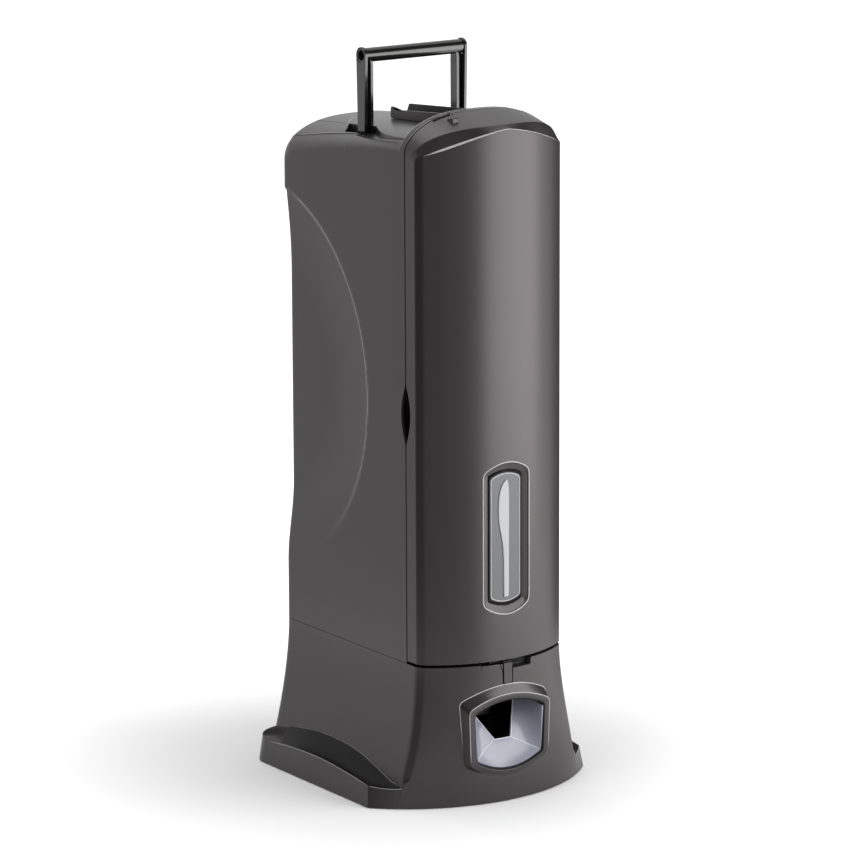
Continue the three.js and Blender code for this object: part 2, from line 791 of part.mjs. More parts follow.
// Upright outline with arched ends, as on the icon recess and its plate
function archedOutline(halfWidth, lowZ, highZ, rise, y) {
  const ends = evenShares(8).map((t) => 2 * t - 1);
  const bend = (share) => rise * (1 - share ** 2);
  return [
    ...ends.map((share) => [share * halfWidth, y, lowZ - bend(share)]),
    ...ends.map((share) => [-share * halfWidth, y, highZ + bend(share)]),
  ];
}

function recessCutter() {
  const floorY = frontApexY + recessDepth;
  const margin = panelHalfWidth + panelGap;
  const low = recessLowZ + panelEndMargin;
  const high = recessHighZ - panelEndMargin;
  return loft([
    archedOutline(recessHalfWidth * recessMouthShare, recessLowZ - panelGap, recessHighZ + panelGap, recessArch,
      frontApexY - wall),
    archedOutline(recessHalfWidth, recessLowZ, recessHighZ, recessArch, frontApexY + wall * recessSlopeShare),
    archedOutline(margin, low, high, panelArch, floorY - panelThickness),
    archedOutline(margin, low, high, panelArch, floorY),
  ], flatXZ);
}

function doorShell() {
  const innerBottom = doorBottomZ + wall;
  const backing = loft([frontApexY, frontApexY + recessDepth + recessBackWall].map((y) => archedOutline(
    recessHalfWidth + wall, recessLowZ - wall, recessHighZ + wall, recessArch, y)), flatXZ);
  const outer = doorBody(0, doorBackY, doorBottomZ);
  const hollow = doorBody(wall, doorBackY + cutOver, innerBottom);
  const nib = polygon([[nibY - nibLength / 2, -nibHeight], [nibY + nibLength / 2, -nibHeight],
    [nibY - nibLength * nibPeakShare, nibHeight]]);
  const lift = doorTopZ(nibX, nibY, 0);
  const nibSolid = prismX(nib, nibX - nibWidth / 2, nibX + nibWidth / 2).translate([0, 0, lift]);
  const shell = join(cut(outer, hollow), backing.intersect(outer), nibSolid);
  return cut(shell, recessCutter(), fingerNotch(-1), fingerNotch(1));
}

function doorIconPanel() {
  const backY = frontApexY + recessDepth - seatGap;
  const low = recessLowZ + panelEndMargin;
  const high = recessHighZ - panelEndMargin;
  return loft([backY - panelThickness, backY].map((y) => archedOutline(
    panelHalfWidth, low, high, panelArch - panelGap, y)), flatXZ);
}

// Table knife standing handle down; shares of the half width and of the length
const knifeBackShares = [[0, 0], [0.5, 0.012], [0.56, 0.3], [0.4, 0.52], [0.62, 0.66], [0.9, 0.8], [0.62, 0.93]];
const knifeEdgeShares = [[0.2, 1], [-0.42, 0.9], [-0.62, 0.72], [-0.5, 0.55], [-0.56, 0.3], [-0.5, 0.012]];

function doorKnifeMark() {
  const length = knifeHighZ - knifeLowZ;
  const outline = [...knifeBackShares, ...knifeEdgeShares].map(
    ([across, up]) => new THREE.Vector2(across * knifeHalfWidth, knifeLowZ + up * length));
  const curve = new THREE.SplineCurve([...outline, outline[0]]);
  const shape = new THREE.Shape(curve.getPoints(52).slice(0, -1));
  const faceY = frontApexY + recessDepth - panelThickness - 2 * seatGap;
  return prismY(shape, faceY - knifeThickness, faceY);
}

// Key tab: the stem in the slot, the eye round the pivot pin and the head under the door
function doorKeyTab() {
  const stemFrontY = frontApexY + tabSetBack;
  const headTopZ = doorBottomZ - seatGap;
  const stem = polygon([
    [stemFrontY, headTopZ - tabHeadThickness / 2],
    [stemFrontY, tabLowZ + tabThickness],
    [stemFrontY + tabThickness / 2, tabLowZ],
    [stemFrontY + tabThickness, tabLowZ],
    [stemFrontY + tabThickness, pivotZ - tabEyeRadius],
    [pivotY, pivotZ - tabEyeRadius],
    [pivotY, headTopZ - tabHeadThickness / 2],
  ]);
  const body = join(
    prismX(stem, -tabHalfWidth, tabHalfWidth),
    rod(tabEyeRadius, -tabHalfWidth, tabHalfWidth, [pivotY, pivotZ], 'x'),
    box(-tabHeadHalfWidth, tabHeadHalfWidth, stemFrontY + tabThickness, tabHeadBackY,
      headTopZ - tabHeadThickness, headTopZ));
  return cut(body, rod(pivotPinRadius + seatGap, -tabHeadHalfWidth, tabHeadHalfWidth, [pivotY, pivotZ], 'x'));
}

const keeperTopZ = doorTopZ(keeperHalfWidth, doorBackY - keeperFlange, wall) - seatGap;

function doorKeeper() {
  const backY = doorBackY - seatGap;
  const plate = box(-keeperHalfWidth, keeperHalfWidth, backY - keeperThickness, backY,
    keeperTopZ - keeperDrop, keeperTopZ);
  const flange = box(-keeperHalfWidth, keeperHalfWidth, backY - keeperFlange, backY,
    keeperTopZ - keeperThickness, keeperTopZ);
  return join(plate, flange);
}

// Base: flared column with foot wings; its front runs into the one arc that all of the foot shares
const footApexY = frontApexY - baseFrontFlare;
const footArcRadius = (wingHalfWidth ** 2 + (wingFrontY - footApexY) ** 2) / (2 * (wingFrontY - footApexY));
const footArcY = (x, inset) => footApexY + footArcRadius - Math.sqrt((footArcRadius - inset) ** 2 - x ** 2);

const flareShare = (z, endZ) => Math.min(1, Math.max(0, (baseTopZ - z) / (baseTopZ - endZ))) ** flarePower;

function baseRing(z, inset) {
  const halfWidth = bodyHalfWidth + baseSideFlare * flareShare(z, 0);
  const share = flareShare(z, wingFrontTopZ);
  const shape = {
    halfWidth,
    apexY: THREE.MathUtils.lerp(frontApexY, footApexY, share),
    cornerY: THREE.MathUtils.lerp(frontCornerY, footArcY(halfWidth, 0), share),
    round: frontCornerRound * (1 - share),
  };
  return planRing(halfWidth, inset, (x, depth) => frontY(x, depth, shape),
    (x, depth) => rearY(x, depth, halfWidth), z);
}

function flaredColumn(inset, lowZ, highZ) {
  const levels = evenShares(9).map((t) => lowZ + t ** skirtLevelPower * (highZ - lowZ));
  return loft(levels.map((z) => baseRing(z, inset)), flatXY);
}

function footBackY(x, inset) {
  const cornerX = bodyHalfWidth + baseSideFlare * flareShare(wingCrestZ, 0);
  const width = wingHalfWidth - inset - cornerX;
  const share = Math.max(0, Math.min(1, (Math.abs(x) - cornerX) / width));
  return bodyRearY - inset - (bodyRearY - wingRearY) * (1 - Math.sqrt(1 - share ** 2));
}

// Foot wing: its outer edge and its line along the flared side both arch; the surface between them swells
// at the rear end and sinks to a dish towards the front
function wingLine(y, { crestY, crestZ, rearFall, frontFall, power }) {
  const away = y - crestY;
  const fall = away > 0 ? rearFall * (away / wingRearSpan) ** 2 : frontFall * (-away / wingFrontSpan) ** power;
  return crestZ - fall;
}

function wingTopZ(x, y) {
  const edgeX = wingHalfWidth - wingSideDraft;
  const across = Math.min(1, Math.max(0, (edgeX - x) / (edgeX - wingInnerX)));
  const forward = Math.min(1, Math.max(0, (wingDishRearY - y) / wingDishSpan));
  const power = THREE.MathUtils.lerp(wingRearPower, wingFrontPower, forward);
  return THREE.MathUtils.lerp(wingLine(y, wingEdge), wingLine(y, wingRoot), across ** power)
    - wingDip * forward * Math.sin(Math.PI * across);
}

// Plan of a wing; its walls lean in towards the top, most of all at the front outer corner
function wingSpot(share, t, inset, innerX, lean) {
  const outerX = wingHalfWidth - inset - lean * wingSideDraft;
  const x = innerX + share * (outerX - innerX);
  const outward = Math.max(0, (x - wingInnerX) / (wingHalfWidth - wingInnerX));
  const start = footArcY(x, inset) + lean * wingFrontDraft * outward;
  return [x, start + t * (footBackY(x, inset + lean * wingSideDraft) - start)];
}

function wing(side, inset, innerX, lowZ) {
  return slab(wingShares, evenShares(wingSteps),
    (share, t) => {
      const [x, y] = wingSpot(share, t, inset, innerX, 1);
      return [side * x, y, wingTopZ(x, y) - inset];
    },
    (share, t) => {
      const [x, y] = wingSpot(share, t, inset, innerX, 0);
      return [side * x, y, lowZ];
    });
}

function footPlan(inset, lowZ, highZ) {
  const ring = (z) => {
    const across = crowdedShares(20).map((share) => share * (wingHalfWidth - inset));
    const back = crowdedShares(20).map((share) => -share * (wingHalfWidth - inset));
    return [
      ...across.map((x) => [x, footArcY(x, inset), z]),
      ...back.map((x) => [x, footBackY(x, inset), z]),
    ];
  };
  return loft([ring(lowZ), ring(highZ)], flatXY);
}

// Window outline grown by a margin, at depth y
function windowRing(margin, y, topExtra = 0) {
  const across = evenShares(10).map((t) => 2 * t - 1);
  const bend = (share, corner, middle) => middle + (corner - middle) * share ** 2;
  const lowHalf = windowHalfWidthLow + margin;
  const topHalf = windowHalfWidthTop + margin;
  return [
    ...across.map((share) => [share * lowHalf, y,
      bend(share, windowCornerLowZ, windowBottomZ) - margin * (1 - Math.abs(share) / 2)]),
    ...across.map((share) => [-share * topHalf, y,
      bend(share, windowCornerHighZ, windowTopZ) + margin * (1 - Math.abs(share) / 4) + topExtra]),
  ];
}

function bezelBoss() {
  const slopeMargin = bezelFaceMargin + bezelSlope;
  const lift = slopeMargin / (bezelFaceMargin + bezelSlope + cutOver);
  return loft([
    windowRing(slopeMargin + bezelSlope * lift, bezelRootY, bezelTopExtra),
    windowRing(slopeMargin, footApexY + bezelFlushDepth, bezelTopExtra),
    windowRing(bezelFaceMargin, bezelFaceY, 0),
  ].reverse(), flatXZ);
}

function baseShell() {
  const ledgeZ = baseTopZ - ledgeThickness;
  let shell = join(flaredColumn(0, baseBottomZ, baseTopZ), wing(-1, 0, wingBuriedX, baseBottomZ),
    wing(1, 0, wingBuriedX, baseBottomZ));
  const belowBezel = box(-bodyHalfWidth, bodyHalfWidth, bezelFaceY - cutOver, bezelRootY + cutOver,
    plateBottomZ + plateThickness, pivotZ);
  shell = join(shell, bezelBoss().intersect(belowBezel));
  const hollowX = wingInnerX + wall;
  shell = cut(shell, flaredColumn(wall, -cutOver, ledgeZ),
    wing(-1, wall, hollowX, -cutOver), wing(1, wall, hollowX, -cutOver),
    loft([ledgeZ - cutOver, baseTopZ + cutOver].map((z) => baseRing(baseTopZ, ledgeWidth).map(
      ([x, y]) => [x, y, z])), flatXY));
  const seatLowZ = pivotZ - pivotSeatDepth;
  for (const side of [-1, 1]) {
    const seat = box(side * pivotSeatInnerX, side * pivotSeatOuterX, frontApexY + wall, pivotSeatBackY,
      seatLowZ, pivotZ);
    const bosses = [baseScrewFrontY, baseScrewRearY].map((y) => rod(screwBossRadius,
      plateBottomZ + plateThickness + seatGap, wingTopZ(baseScrewX, y) - wall / 2, [side * baseScrewX, y], 'z', 12));
    shell = join(shell, seat, ...bosses);
  }
  const windowHole = loft([windowRing(0, bezelFaceY - cutOver), windowRing(0, bezelRootY + cutOver)], flatXZ);
  const notch = box(-keyNotchHalfWidth, keyNotchHalfWidth, bezelFaceY - cutOver, frontApexY + ledgeWidth - cutOver / 2,
    baseTopZ - keyNotchDepth, baseTopZ + cutOver);
  const slot = box(-keySlotHalfWidth, keySlotHalfWidth, bezelFaceY - cutOver, frontApexY + ledgeWidth + wall,
    keySlotLowZ, baseTopZ + cutOver);
  const pinWay = rod(pivotPinRadius + seatGap, -pinSeatReach, pinSeatReach, [pivotY, pivotZ], 'x');
  const pinDrop = box(-pinSeatReach, pinSeatReach, pivotY - pivotPinRadius - seatGap,
    pivotSeatBackY + cutOver, pivotZ, baseTopZ + cutOver);
  shell = cut(shell, windowHole, notch, slot, pinWay, pinDrop,
    footPlan(plateInset, baseBottomZ - cutOver, plateBottomZ + plateThickness + seatGap));
  const hole = (x, y, z0, z1) => rod(screwShankRadius + seatGap, z0, z1, [x, y], 'z', 12);
  for (const side of [-1, 1]) {
    for (const y of [baseScrewFrontY, baseScrewRearY]) {
      shell = cut(shell, hole(side * baseScrewX, y, 0, plateBottomZ + baseScrewLength + 2 * seatGap));
    }
    for (const y of [housingScrewFrontY, housingScrewRearY]) {
      shell = cut(shell, hole(side * housingScrewX, y, ledgeZ - cutOver, baseTopZ + cutOver));
    }
  }
  return shell;
}

function basePlate() {
  const topZ = plateBottomZ + plateThickness;
  let plate = footPlan(plateInset + seatGap, plateBottomZ, topZ);
  for (const side of [-1, 1]) {
    const lug = new THREE.Shape();
    lug.moveTo(axleY - axleLugFoot, topZ - seatGap);
    lug.lineTo(axleY + axleLugFoot, topZ - seatGap);
    lug.lineTo(axleY + axleLugRadius, axleZ);
    lug.absarc(axleY, axleZ, axleLugRadius, 0, Math.PI, false);
    lug.closePath();
    plate = join(plate, prismX(lug, side * axleLugInnerX, side * axleLugOuterX));
    for (const y of [baseScrewFrontY, baseScrewRearY]) {
      plate = cut(plate, rod(screwShankRadius + seatGap, 0, topZ + cutOver, [side * baseScrewX, y], 'z', 12));
    }
  }
  return cut(plate, rod(axleRadius + seatGap, -axleLugOuterX - cutOver, axleLugOuterX + cutOver,
    [axleY, axleZ], 'x'));
}

function rubberFoot(x, y) {
  const top = plateBottomZ - seatGap;
  const profile = [[0, 0], [footRadius * footSoleShare, 0], [footRadius, top * footChamferShare], [footRadius, top], [0, top]];
  const geometry = new THREE.LatheGeometry(profile.map(([r, z]) => new THREE.Vector2(r, z)), 20);
  geometry.rotateX(Math.PI / 2);
  return toSolid(geometry).translate([x, y, 0]);
}

// Pan-head screw with its head's underside at seatZ, pointing up
function screw(x, y, seatZ, length) {
  const headZ = -seatGap - screwHeadHeight;
  const profile = [[0, headZ], [screwHeadRadius * screwHeadCrownShare, headZ], [screwHeadRadius, headZ + screwHeadHeight / 2],
    [screwHeadRadius, -seatGap], [screwShankRadius, -seatGap], [screwShankRadius, length - screwShankRadius],
    [0, length]];
  const geometry = new THREE.LatheGeometry(profile.map(([r, z]) => new THREE.Vector2(r, z)), 10);
  geometry.rotateX(Math.PI / 2);
  return toSolid(geometry).translate([x, y, seatZ]);
}

// Carry handle: arms with an outer and an inner plate joined by a web, and a hub at the foot
function handleArm(side) {
  const saddleZ = handleTopZ - armSaddleDrop;
  const plate = new THREE.Shape();
  plate.absarc(handleY, handleTopZ, armHeadRadius, 0, Math.PI, false);
  plate.absarc(handleY, handlePivotZ, armFootRadius, Math.PI, 2 * Math.PI, false);
  plate.closePath();
  const saddle = polygon([
    [handleY - armFootRadius, handlePivotZ],
    [handleY + armFootRadius, handlePivotZ],
    [handleY + armHeadRadius, saddleZ - armFootRadius],
    [handleY + armHeadRadius - armPlate, saddleZ],
    [handleY - armHeadRadius + armPlate, saddleZ],
    [handleY - armHeadRadius, saddleZ - armFootRadius],
  ]);
  const web = box(side * armInnerX, side * armOuterX, handleY - armWeb / 2, handleY + armWeb / 2,
    handlePivotZ, saddleZ);
  const arm = join(
    prismX(plate, side * (armOuterX - armPlate), side * armOuterX, 10),
    prismX(saddle, side * armInnerX, side * (armInnerX + armPlate)),
    web,
    rod(armFootRadius, side * armInnerX, side * armOuterX, [handleY, handlePivotZ], 'x'));
  return cut(arm,
    rod(gripRadius + seatGap, side * (armInnerX - cutOver), side * (armOuterX + cutOver),
      [handleY, handleTopZ], 'x', 24),
    rod(handlePinRadius + seatGap, side * (armInnerX - cutOver), side * (armOuterX + cutOver),
      [handleY, handlePivotZ], 'x'));
}

function handleGrip() {
  return cut(
    rod(gripRadius, -gripHalfLength, gripHalfLength, [handleY, handleTopZ], 'x', 24),
    rod(gripBore, -gripHalfLength - cutOver, gripHalfLength + cutOver, [handleY, handleTopZ], 'x', 24));
}

function handlePin(side) {
  const headX = armOuterX + seatGap;
  return join(
    rod(handlePinRadius, side * handlePinRootX, side * (headX + seatGap), [handleY, handlePivotZ], 'x'),
    rod(handlePinHeadRadius, side * headX, side * (headX + handlePinHeadHeight), [handleY, handlePivotZ], 'x'));
}

// Latch slide, drawn in the deck's frame with its seat at z = 0
function latchSlide() {
  const bottom = seatGap;
  const side = (end) => polygon([[latchNoseY, bottom], [latchRearY, bottom], ...end,
    [latchNoseY, latchFrontHeight]]);
  const hooked = side([[latchRearY, latchRearHeight], [latchRearY - latchLip / 2, latchRearHeight + latchLip],
    [latchRearY - latchLip * 2, latchRearHeight]]);
  const slanted = side([[latchRearY, latchLip], [latchRearY - latchEndSlant, latchRearHeight]]);
  const inner = latchHalfWidth - latchWall;
  return join(
    prismX(hooked, -latchHalfWidth, -inner),
    prismX(slanted, inner, latchHalfWidth),
    box(-inner - seatGap, inner + seatGap, latchNoseY, latchRearY, bottom, bottom + latchFloor),
    box(-latchKeelHalfWidth, latchKeelHalfWidth, latchKeelFrontY, latchKeelRearY, -latchKeelDrop,
      bottom + latchFloor / 2));
}

function latchRetainer() {
  const top = -wall - seatGap * retainerGapShare;
  const plate = box(-latchRetainerHalfWidth, latchRetainerHalfWidth, latchKeelFrontY - latchRetainerMargin,
    latchKeelRearY + latchRetainerMargin, top - latchRetainerThickness, top);
  return cut(plate, box(-latchKeelHalfWidth - seatGap, latchKeelHalfWidth + seatGap,
    latchKeelFrontY - seatGap, latchKeelRearY + seatGap, top - cutOver, top + cutOver));
}

// Coil spring along Y: one tube on a helix, its last half turns drawn flat against the seats
function coilSpring(radius, wire, length, turns, startY, centre) {
  const steps = turns * 8;
  const sides = 5;
  const mean = radius - wire;
  const inner = length - 2 * wire;
  const pitch = inner / turns;
  const rings = series(steps, (t) => {
    const angle = t * turns * 2 * Math.PI;
    const slope = Math.atan2(pitch, 2 * Math.PI * mean);
    return series(sides, (s) => s).slice(0, -1).map((s) => {
      const turn = s * 2 * Math.PI;
      const out = mean + wire * Math.cos(turn);
      const lean = wire * Math.sin(turn);
      return [
        centre[0] + out * Math.cos(angle) + lean * Math.sin(slope) * Math.sin(angle),
        startY + wire + t * inner + lean * Math.cos(slope),
        centre[1] + out * Math.sin(angle) - lean * Math.sin(slope) * Math.cos(angle),
      ];
    });
  });
  const gap = pitch - 2 * wire;
  console.log('coil spring least gap between turns, mm:', gap.toFixed(2));
  return loft(rings, ([x, y, z]) => new THREE.Vector2(Math.hypot(x - centre[0], z - centre[1]), y));
}

// Magazine guides: upright channels with sight windows and a slot for the follower's pins
const guideBottomZ = housingBottomZ + flangeThickness + hopperFlange + 2 * seatGap;

function oblong(y, lowZ, width, height) {
  const r = width / 2;
  const shape = new THREE.Shape();
  shape.absarc(y, lowZ + r, r, Math.PI, 2 * Math.PI, false);
  shape.absarc(y, lowZ + height - r, r, 0, Math.PI, false);
  shape.closePath();
  return shape;
}

function magazineGuide(side) {
  const outer = bodyHalfWidth - scallopRearDepth - wall - guideWallGap;
  const inner = guideInnerX;
  const section = polygon([
    [inner, guideFrontY], [outer, guideFrontY], [outer, guideFrontY + guideWeb],
    [inner + guideWeb, guideFrontY + guideWeb], [inner + guideWeb, guideRearY - guideWeb],
    [outer, guideRearY - guideWeb], [outer, guideRearY], [inner, guideRearY],
  ].map(([x, y]) => [side * x, y]));
  let guide = prismZ(section, guideBottomZ, guideTopZ);
  const through = [side * (inner - cutOver), side * (inner + guideWeb + cutOver)];
  for (let row = 0; row < sightRows; row += 1) {
    for (const y of [sightFrontY, sightRearY]) {
      guide = cut(guide, prismX(oblong(y, sightLowZ + row * sightPitch, sightWidth, sightHeight), ...through));
    }
  }
  const pinZ = followerBottomZ + followerHeight / 2;
  const slotLow = pinZ - followerPinRadius - seatGap;
  const slotHeight = followerTravel + 2 * pinSlotHalfWidth + 2 * seatGap;
  return cut(guide, prismX(oblong(pinSlotY, slotLow - (pinSlotHalfWidth - followerPinRadius) / 2,
    2 * pinSlotHalfWidth, slotHeight + pinSlotHalfWidth), ...through));
}

function followerWeight() {
  const halfWidth = guideInnerX - followerSideGap;
  const body = new THREE.Shape();
  const r = followerEndRound;
  body.moveTo(followerFrontY + r, followerBottomZ);
  body.lineTo(followerRearY - r, followerBottomZ);
  body.quadraticCurveTo(followerRearY, followerBottomZ, followerRearY, followerBottomZ + r);
  body.lineTo(followerRearY, followerBottomZ + followerHeight);
  body.lineTo(followerFrontY, followerBottomZ + followerHeight);
  body.lineTo(followerFrontY, followerBottomZ + r);
  body.quadraticCurveTo(followerFrontY, followerBottomZ, followerFrontY + r, followerBottomZ);
  const pinZ = followerBottomZ + followerHeight / 2;
  const top = followerBottomZ + followerHeight;
  const profile = [[0, -seatGap], [knobNeckRadius, -seatGap], [knobNeckRadius, knobHeight * knobNeckShare],
    [knobRadius, knobHeight / 2], [knobRadius, knobHeight * knobRimShare], [knobRadius * knobTopShare, knobHeight], [0, knobHeight]];
  const knob = new THREE.LatheGeometry(profile.map(([a, b]) => new THREE.Vector2(a, b)), 16);
  knob.rotateX(Math.PI / 2);
  return join(
    prismX(body, -halfWidth, halfWidth),
    rod(followerPinRadius, -halfWidth - followerPinReach - seatGap, halfWidth + followerPinReach + seatGap,
      [pinSlotY, pinZ], 'x'),
    toSolid(knob).translate([0, pinSlotY, top]));
}

function hopper() {
  const flangeLowZ = housingBottomZ + flangeThickness + seatGap;
  const topZ = flangeLowZ + hopperFlange;
  const width = bodyHalfWidth - wall - 2 * seatGap;
  const rect = (half, y0, y1, z) => [[-half, y0, z], [half, y0, z], [half, y1, z], [-half, y1, z]];
  const walls = (grow, z0, z1) => {
    const at = (z) => {
      const share = (z - hopperThroatZ) / (topZ - hopperThroatZ);
      const half = hopperThroatHalfWidth + share * (hopperHalfWidth - hopperThroatHalfWidth) + grow;
      const front = hopperThroatFrontY + share * (hopperFrontY - hopperThroatFrontY) - grow;
      return rect(half, front, hopperRearY + grow, z);
    };
    return loft([at(z0), at(z1)], flatXY);
  };
  const flange = box(-width, width, hopperFlangeFrontY, hopperFlangeRearY, flangeLowZ, topZ);
  const tipped = join(flange, walls(hopperWall, hopperThroatZ, topZ - seatGap));
  return cut(tipped, walls(0, hopperThroatZ - cutOver, topZ + cutOver));
}

function shuttle() {
  const section = polygon([
    [-shuttleHalfWidth, shuttleBottomZ], [shuttleHalfWidth, shuttleBottomZ],
    [shuttleHalfWidth, shuttleTopZ], [troughTopHalfWidth, shuttleTopZ],
    [troughLowHalfWidth, troughLowZ], [-troughLowHalfWidth, troughLowZ],
    [-troughTopHalfWidth, shuttleTopZ], [-shuttleHalfWidth, shuttleTopZ],
  ]);
  const pusherBackY = shuttleRearY - pusherInset;
  const ribFront = trackFrontY + trackWall + cutOver;
  return join(
    prismY(section, shuttleFrontY, shuttleRearY),
    box(-troughTopHalfWidth, troughTopHalfWidth, pusherBackY - pusherThickness, pusherBackY,
      troughLowZ - seatGap, shuttleTopZ),
    box(-guideRibHalfWidth, guideRibHalfWidth, ribFront, keelY + keelThickness + guideRibDepth,
      shuttleBottomZ - guideRibDepth, shuttleBottomZ + seatGap),
    box(-keelHalfWidth, keelHalfWidth, keelY, keelY + keelThickness, keelLowZ,
      shuttleBottomZ - guideRibDepth + seatGap));
}

function shuttleTrack() {
  const lowZ = plateBottomZ + plateThickness + seatGap;
  const topZ = shuttleBottomZ - seatGap;
  const inner = trackHalfWidth - trackWall;
  const section = polygon([
    [-trackHalfWidth, lowZ], [trackHalfWidth, lowZ], [trackHalfWidth, topZ], [trackLedgeInnerX, topZ],
    [trackLedgeInnerX, topZ - trackWall], [inner, topZ - trackWall], [inner, lowZ + trackWall],
    [-inner, lowZ + trackWall], [-inner, topZ - trackWall], [-trackLedgeInnerX, topZ - trackWall],
    [-trackLedgeInnerX, topZ], [-trackHalfWidth, topZ],
  ]);
  const stop = box(-inner - seatGap, inner + seatGap, springStopY, springStopY + trackWall,
    lowZ + trackWall - seatGap, springStopTopZ);
  return join(prismY(section, trackFrontY, trackRearY), stop);
}

// Scoop: a dished shell from the rim in the window to the edge of the vee that the knife comes through
function scoopFace(t, s) {
  const start = scoopVeeStart;
  const topHalf = windowHalfWidthTop - scoopRimGap;
  const lowHalf = windowHalfWidthLow - scoopRimGap;
  const topZ = windowCornerHighZ - scoopRimGap;
  const cornerZ = windowCornerLowZ + scoopRimGap / 2;
  const bottomZ = windowBottomZ + scoopRimGap;
  const side = t < 0.5 ? -1 : 1;
  const way = t < 0.5 ? t : 1 - t;
  const mix = THREE.MathUtils.lerp;
  let rim;
  let vee;
  if (way < start) {
    const k = way / start;
    rim = [side * mix(topHalf, lowHalf, k), scoopRimY, mix(topZ, cornerZ, k)];
    vee = [side * mix(scoopBackHalfWidth, scoopVeeHalfWidth, k), mix(scoopBackY, scoopVeeY, k),
      mix(scoopBackZ, scoopVeeZ, k)];
  } else {
    const k = 1 - (way - start) / (0.5 - start);
    rim = [side * k * lowHalf, scoopRimY, mix(bottomZ, cornerZ, k ** 2)];
    vee = [side * k * scoopVeeHalfWidth, scoopVeeY, scoopVeeZ];
  }
  const bow = scoopBow * 4 * s * (1 - s);
  return [mix(rim[0], vee[0], s) + side * bow * (way < start ? scoopSideBowShare : scoopFloorBowShare * Math.abs(rim[0]) / lowHalf),
    mix(rim[1], vee[1], s) + bow, mix(rim[2], vee[2], s)];
}

function scoopShell() {
  const start = scoopVeeStart;
  const ts = [...evenShares(6).map((k) => k * start), ...evenShares(6).slice(1).map(
    (k) => start + k * (1 - 2 * start)), ...evenShares(6).slice(1).map((k) => 1 - start + k * start)];
  const small = 1e-3;
  const back = (t, s) => {
    const clampT = Math.min(1 - small, Math.max(small, t));
    const clampS = Math.min(1 - small, Math.max(small, s));
    const at = (a, b) => new THREE.Vector3(...scoopFace(a, b));
    const alongT = at(clampT + small, clampS).sub(at(clampT - small, clampS));
    const alongS = at(clampT, clampS + small).sub(at(clampT, clampS - small));
    const normal = alongT.cross(alongS).normalize();
    if (normal.y < 0) normal.negate();
    const point = scoopFace(t, s);
    return [point[0] + normal.x * scoopWall, point[1] + normal.y * scoopWall, point[2] + normal.z * scoopWall];
  };
  return slab(ts, evenShares(6), scoopFace, back);
}

function pushScoop() {
  const noseY = shuttleFrontY - seatGap - cheekNoseRadius;
  const noseZ = axleZ + cheekNoseRise;
  const rimY = scoopRimY + scoopWall;
  const veeY = scoopVeeY + scoopWall;
  const cheek = new THREE.Shape();
  cheek.moveTo(rimY + scoopWall, windowCornerLowZ - scoopWall);
  cheek.lineTo(veeY + scoopWall, scoopVeeZ + scoopWall);
  cheek.lineTo(noseY, noseZ + cheekNoseRadius);
  cheek.absarc(noseY, noseZ, cheekNoseRadius, Math.PI / 2, -Math.PI / 2, true);
  cheek.lineTo(axleY + scoopHubRadius, axleZ);
  cheek.absarc(axleY, axleZ, scoopHubRadius, 0, -Math.PI, true);
  cheek.closePath();
  let scoop = scoopShell();
  for (const side of [-1, 1]) {
    scoop = join(scoop, prismX(cheek, side * cheekInnerX, side * cheekOuterX));
  }
  scoop = join(scoop, rod(scoopHubRadius - scoopWall, -cheekInnerX - seatGap, cheekInnerX + seatGap,
    [axleY, axleZ], 'x'));
  return cut(scoop, rod(axleRadius + seatGap, -cheekOuterX - cutOver, cheekOuterX + cutOver,
    [axleY, axleZ], 'x'));
}

// Assembly, moved so that its outline is centred over the origin
const dispenser = new THREE.Group();
const standing = new THREE.Group();
standing.position.y = -(bezelFaceY + bodyRearY) / 2;
dispenser.add(standing);

function piece(name, solid, look, parent = standing) {
  const mesh = new THREE.Mesh(toGeometry(solid), new THREE.MeshStandardMaterial(look));
  mesh.name = name;
  parent.add(mesh);
  return mesh;
}

piece('base_shell', baseShell(), abs);
piece('base_plate', basePlate(), innerGrey);
for (const [hand, side] of [['left', -1], ['right', 1]]) {
  piece(`foot_front_${hand}`, rubberFoot(side * footX, footFrontY), rubber);
  piece(`foot_rear_${hand}`, rubberFoot(side * footX, footRearY), rubber);
  piece(`base_screw_front_${hand}`, screw(side * baseScrewX, baseScrewFrontY, plateBottomZ, baseScrewLength), steel);
  piece(`base_screw_rear_${hand}`, screw(side * baseScrewX, baseScrewRearY, plateBottomZ, baseScrewLength), steel);
  const seatZ = baseTopZ - ledgeThickness;
  const length = ledgeThickness + flangeThickness;
  piece(`housing_screw_front_${hand}`, screw(side * housingScrewX, housingScrewFrontY, seatZ, length), steel);
  piece(`housing_screw_rear_${hand}`, screw(side * housingScrewX, housingScrewRearY, seatZ, length), steel);
}
piece('rear_housing', rearHousing(), abs);
piece('door_shell', doorShell(), abs);
piece('door_icon_panel', doorIconPanel(), panelGrey);
piece('door_knife_mark', doorKnifeMark(), markGrey);
piece('door_key_tab', doorKeyTab(), abs);
piece('door_pivot_pin', rod(pivotPinRadius, -pivotPinHalfLength, pivotPinHalfLength, [pivotY, pivotZ], 'x'), steel);
piece('door_keeper', doorKeeper(), steel);
for (const [hand, side] of [['left', -1], ['right', 1]]) {
  piece(`handle_arm_${hand}`, handleArm(side), glossBlack);
  piece(`handle_pin_${hand}`, handlePin(side), steel);
  piece(`magazine_guide_${hand}`, magazineGuide(side), innerGrey);
}
piece('handle_grip', handleGrip(), glossBlack);

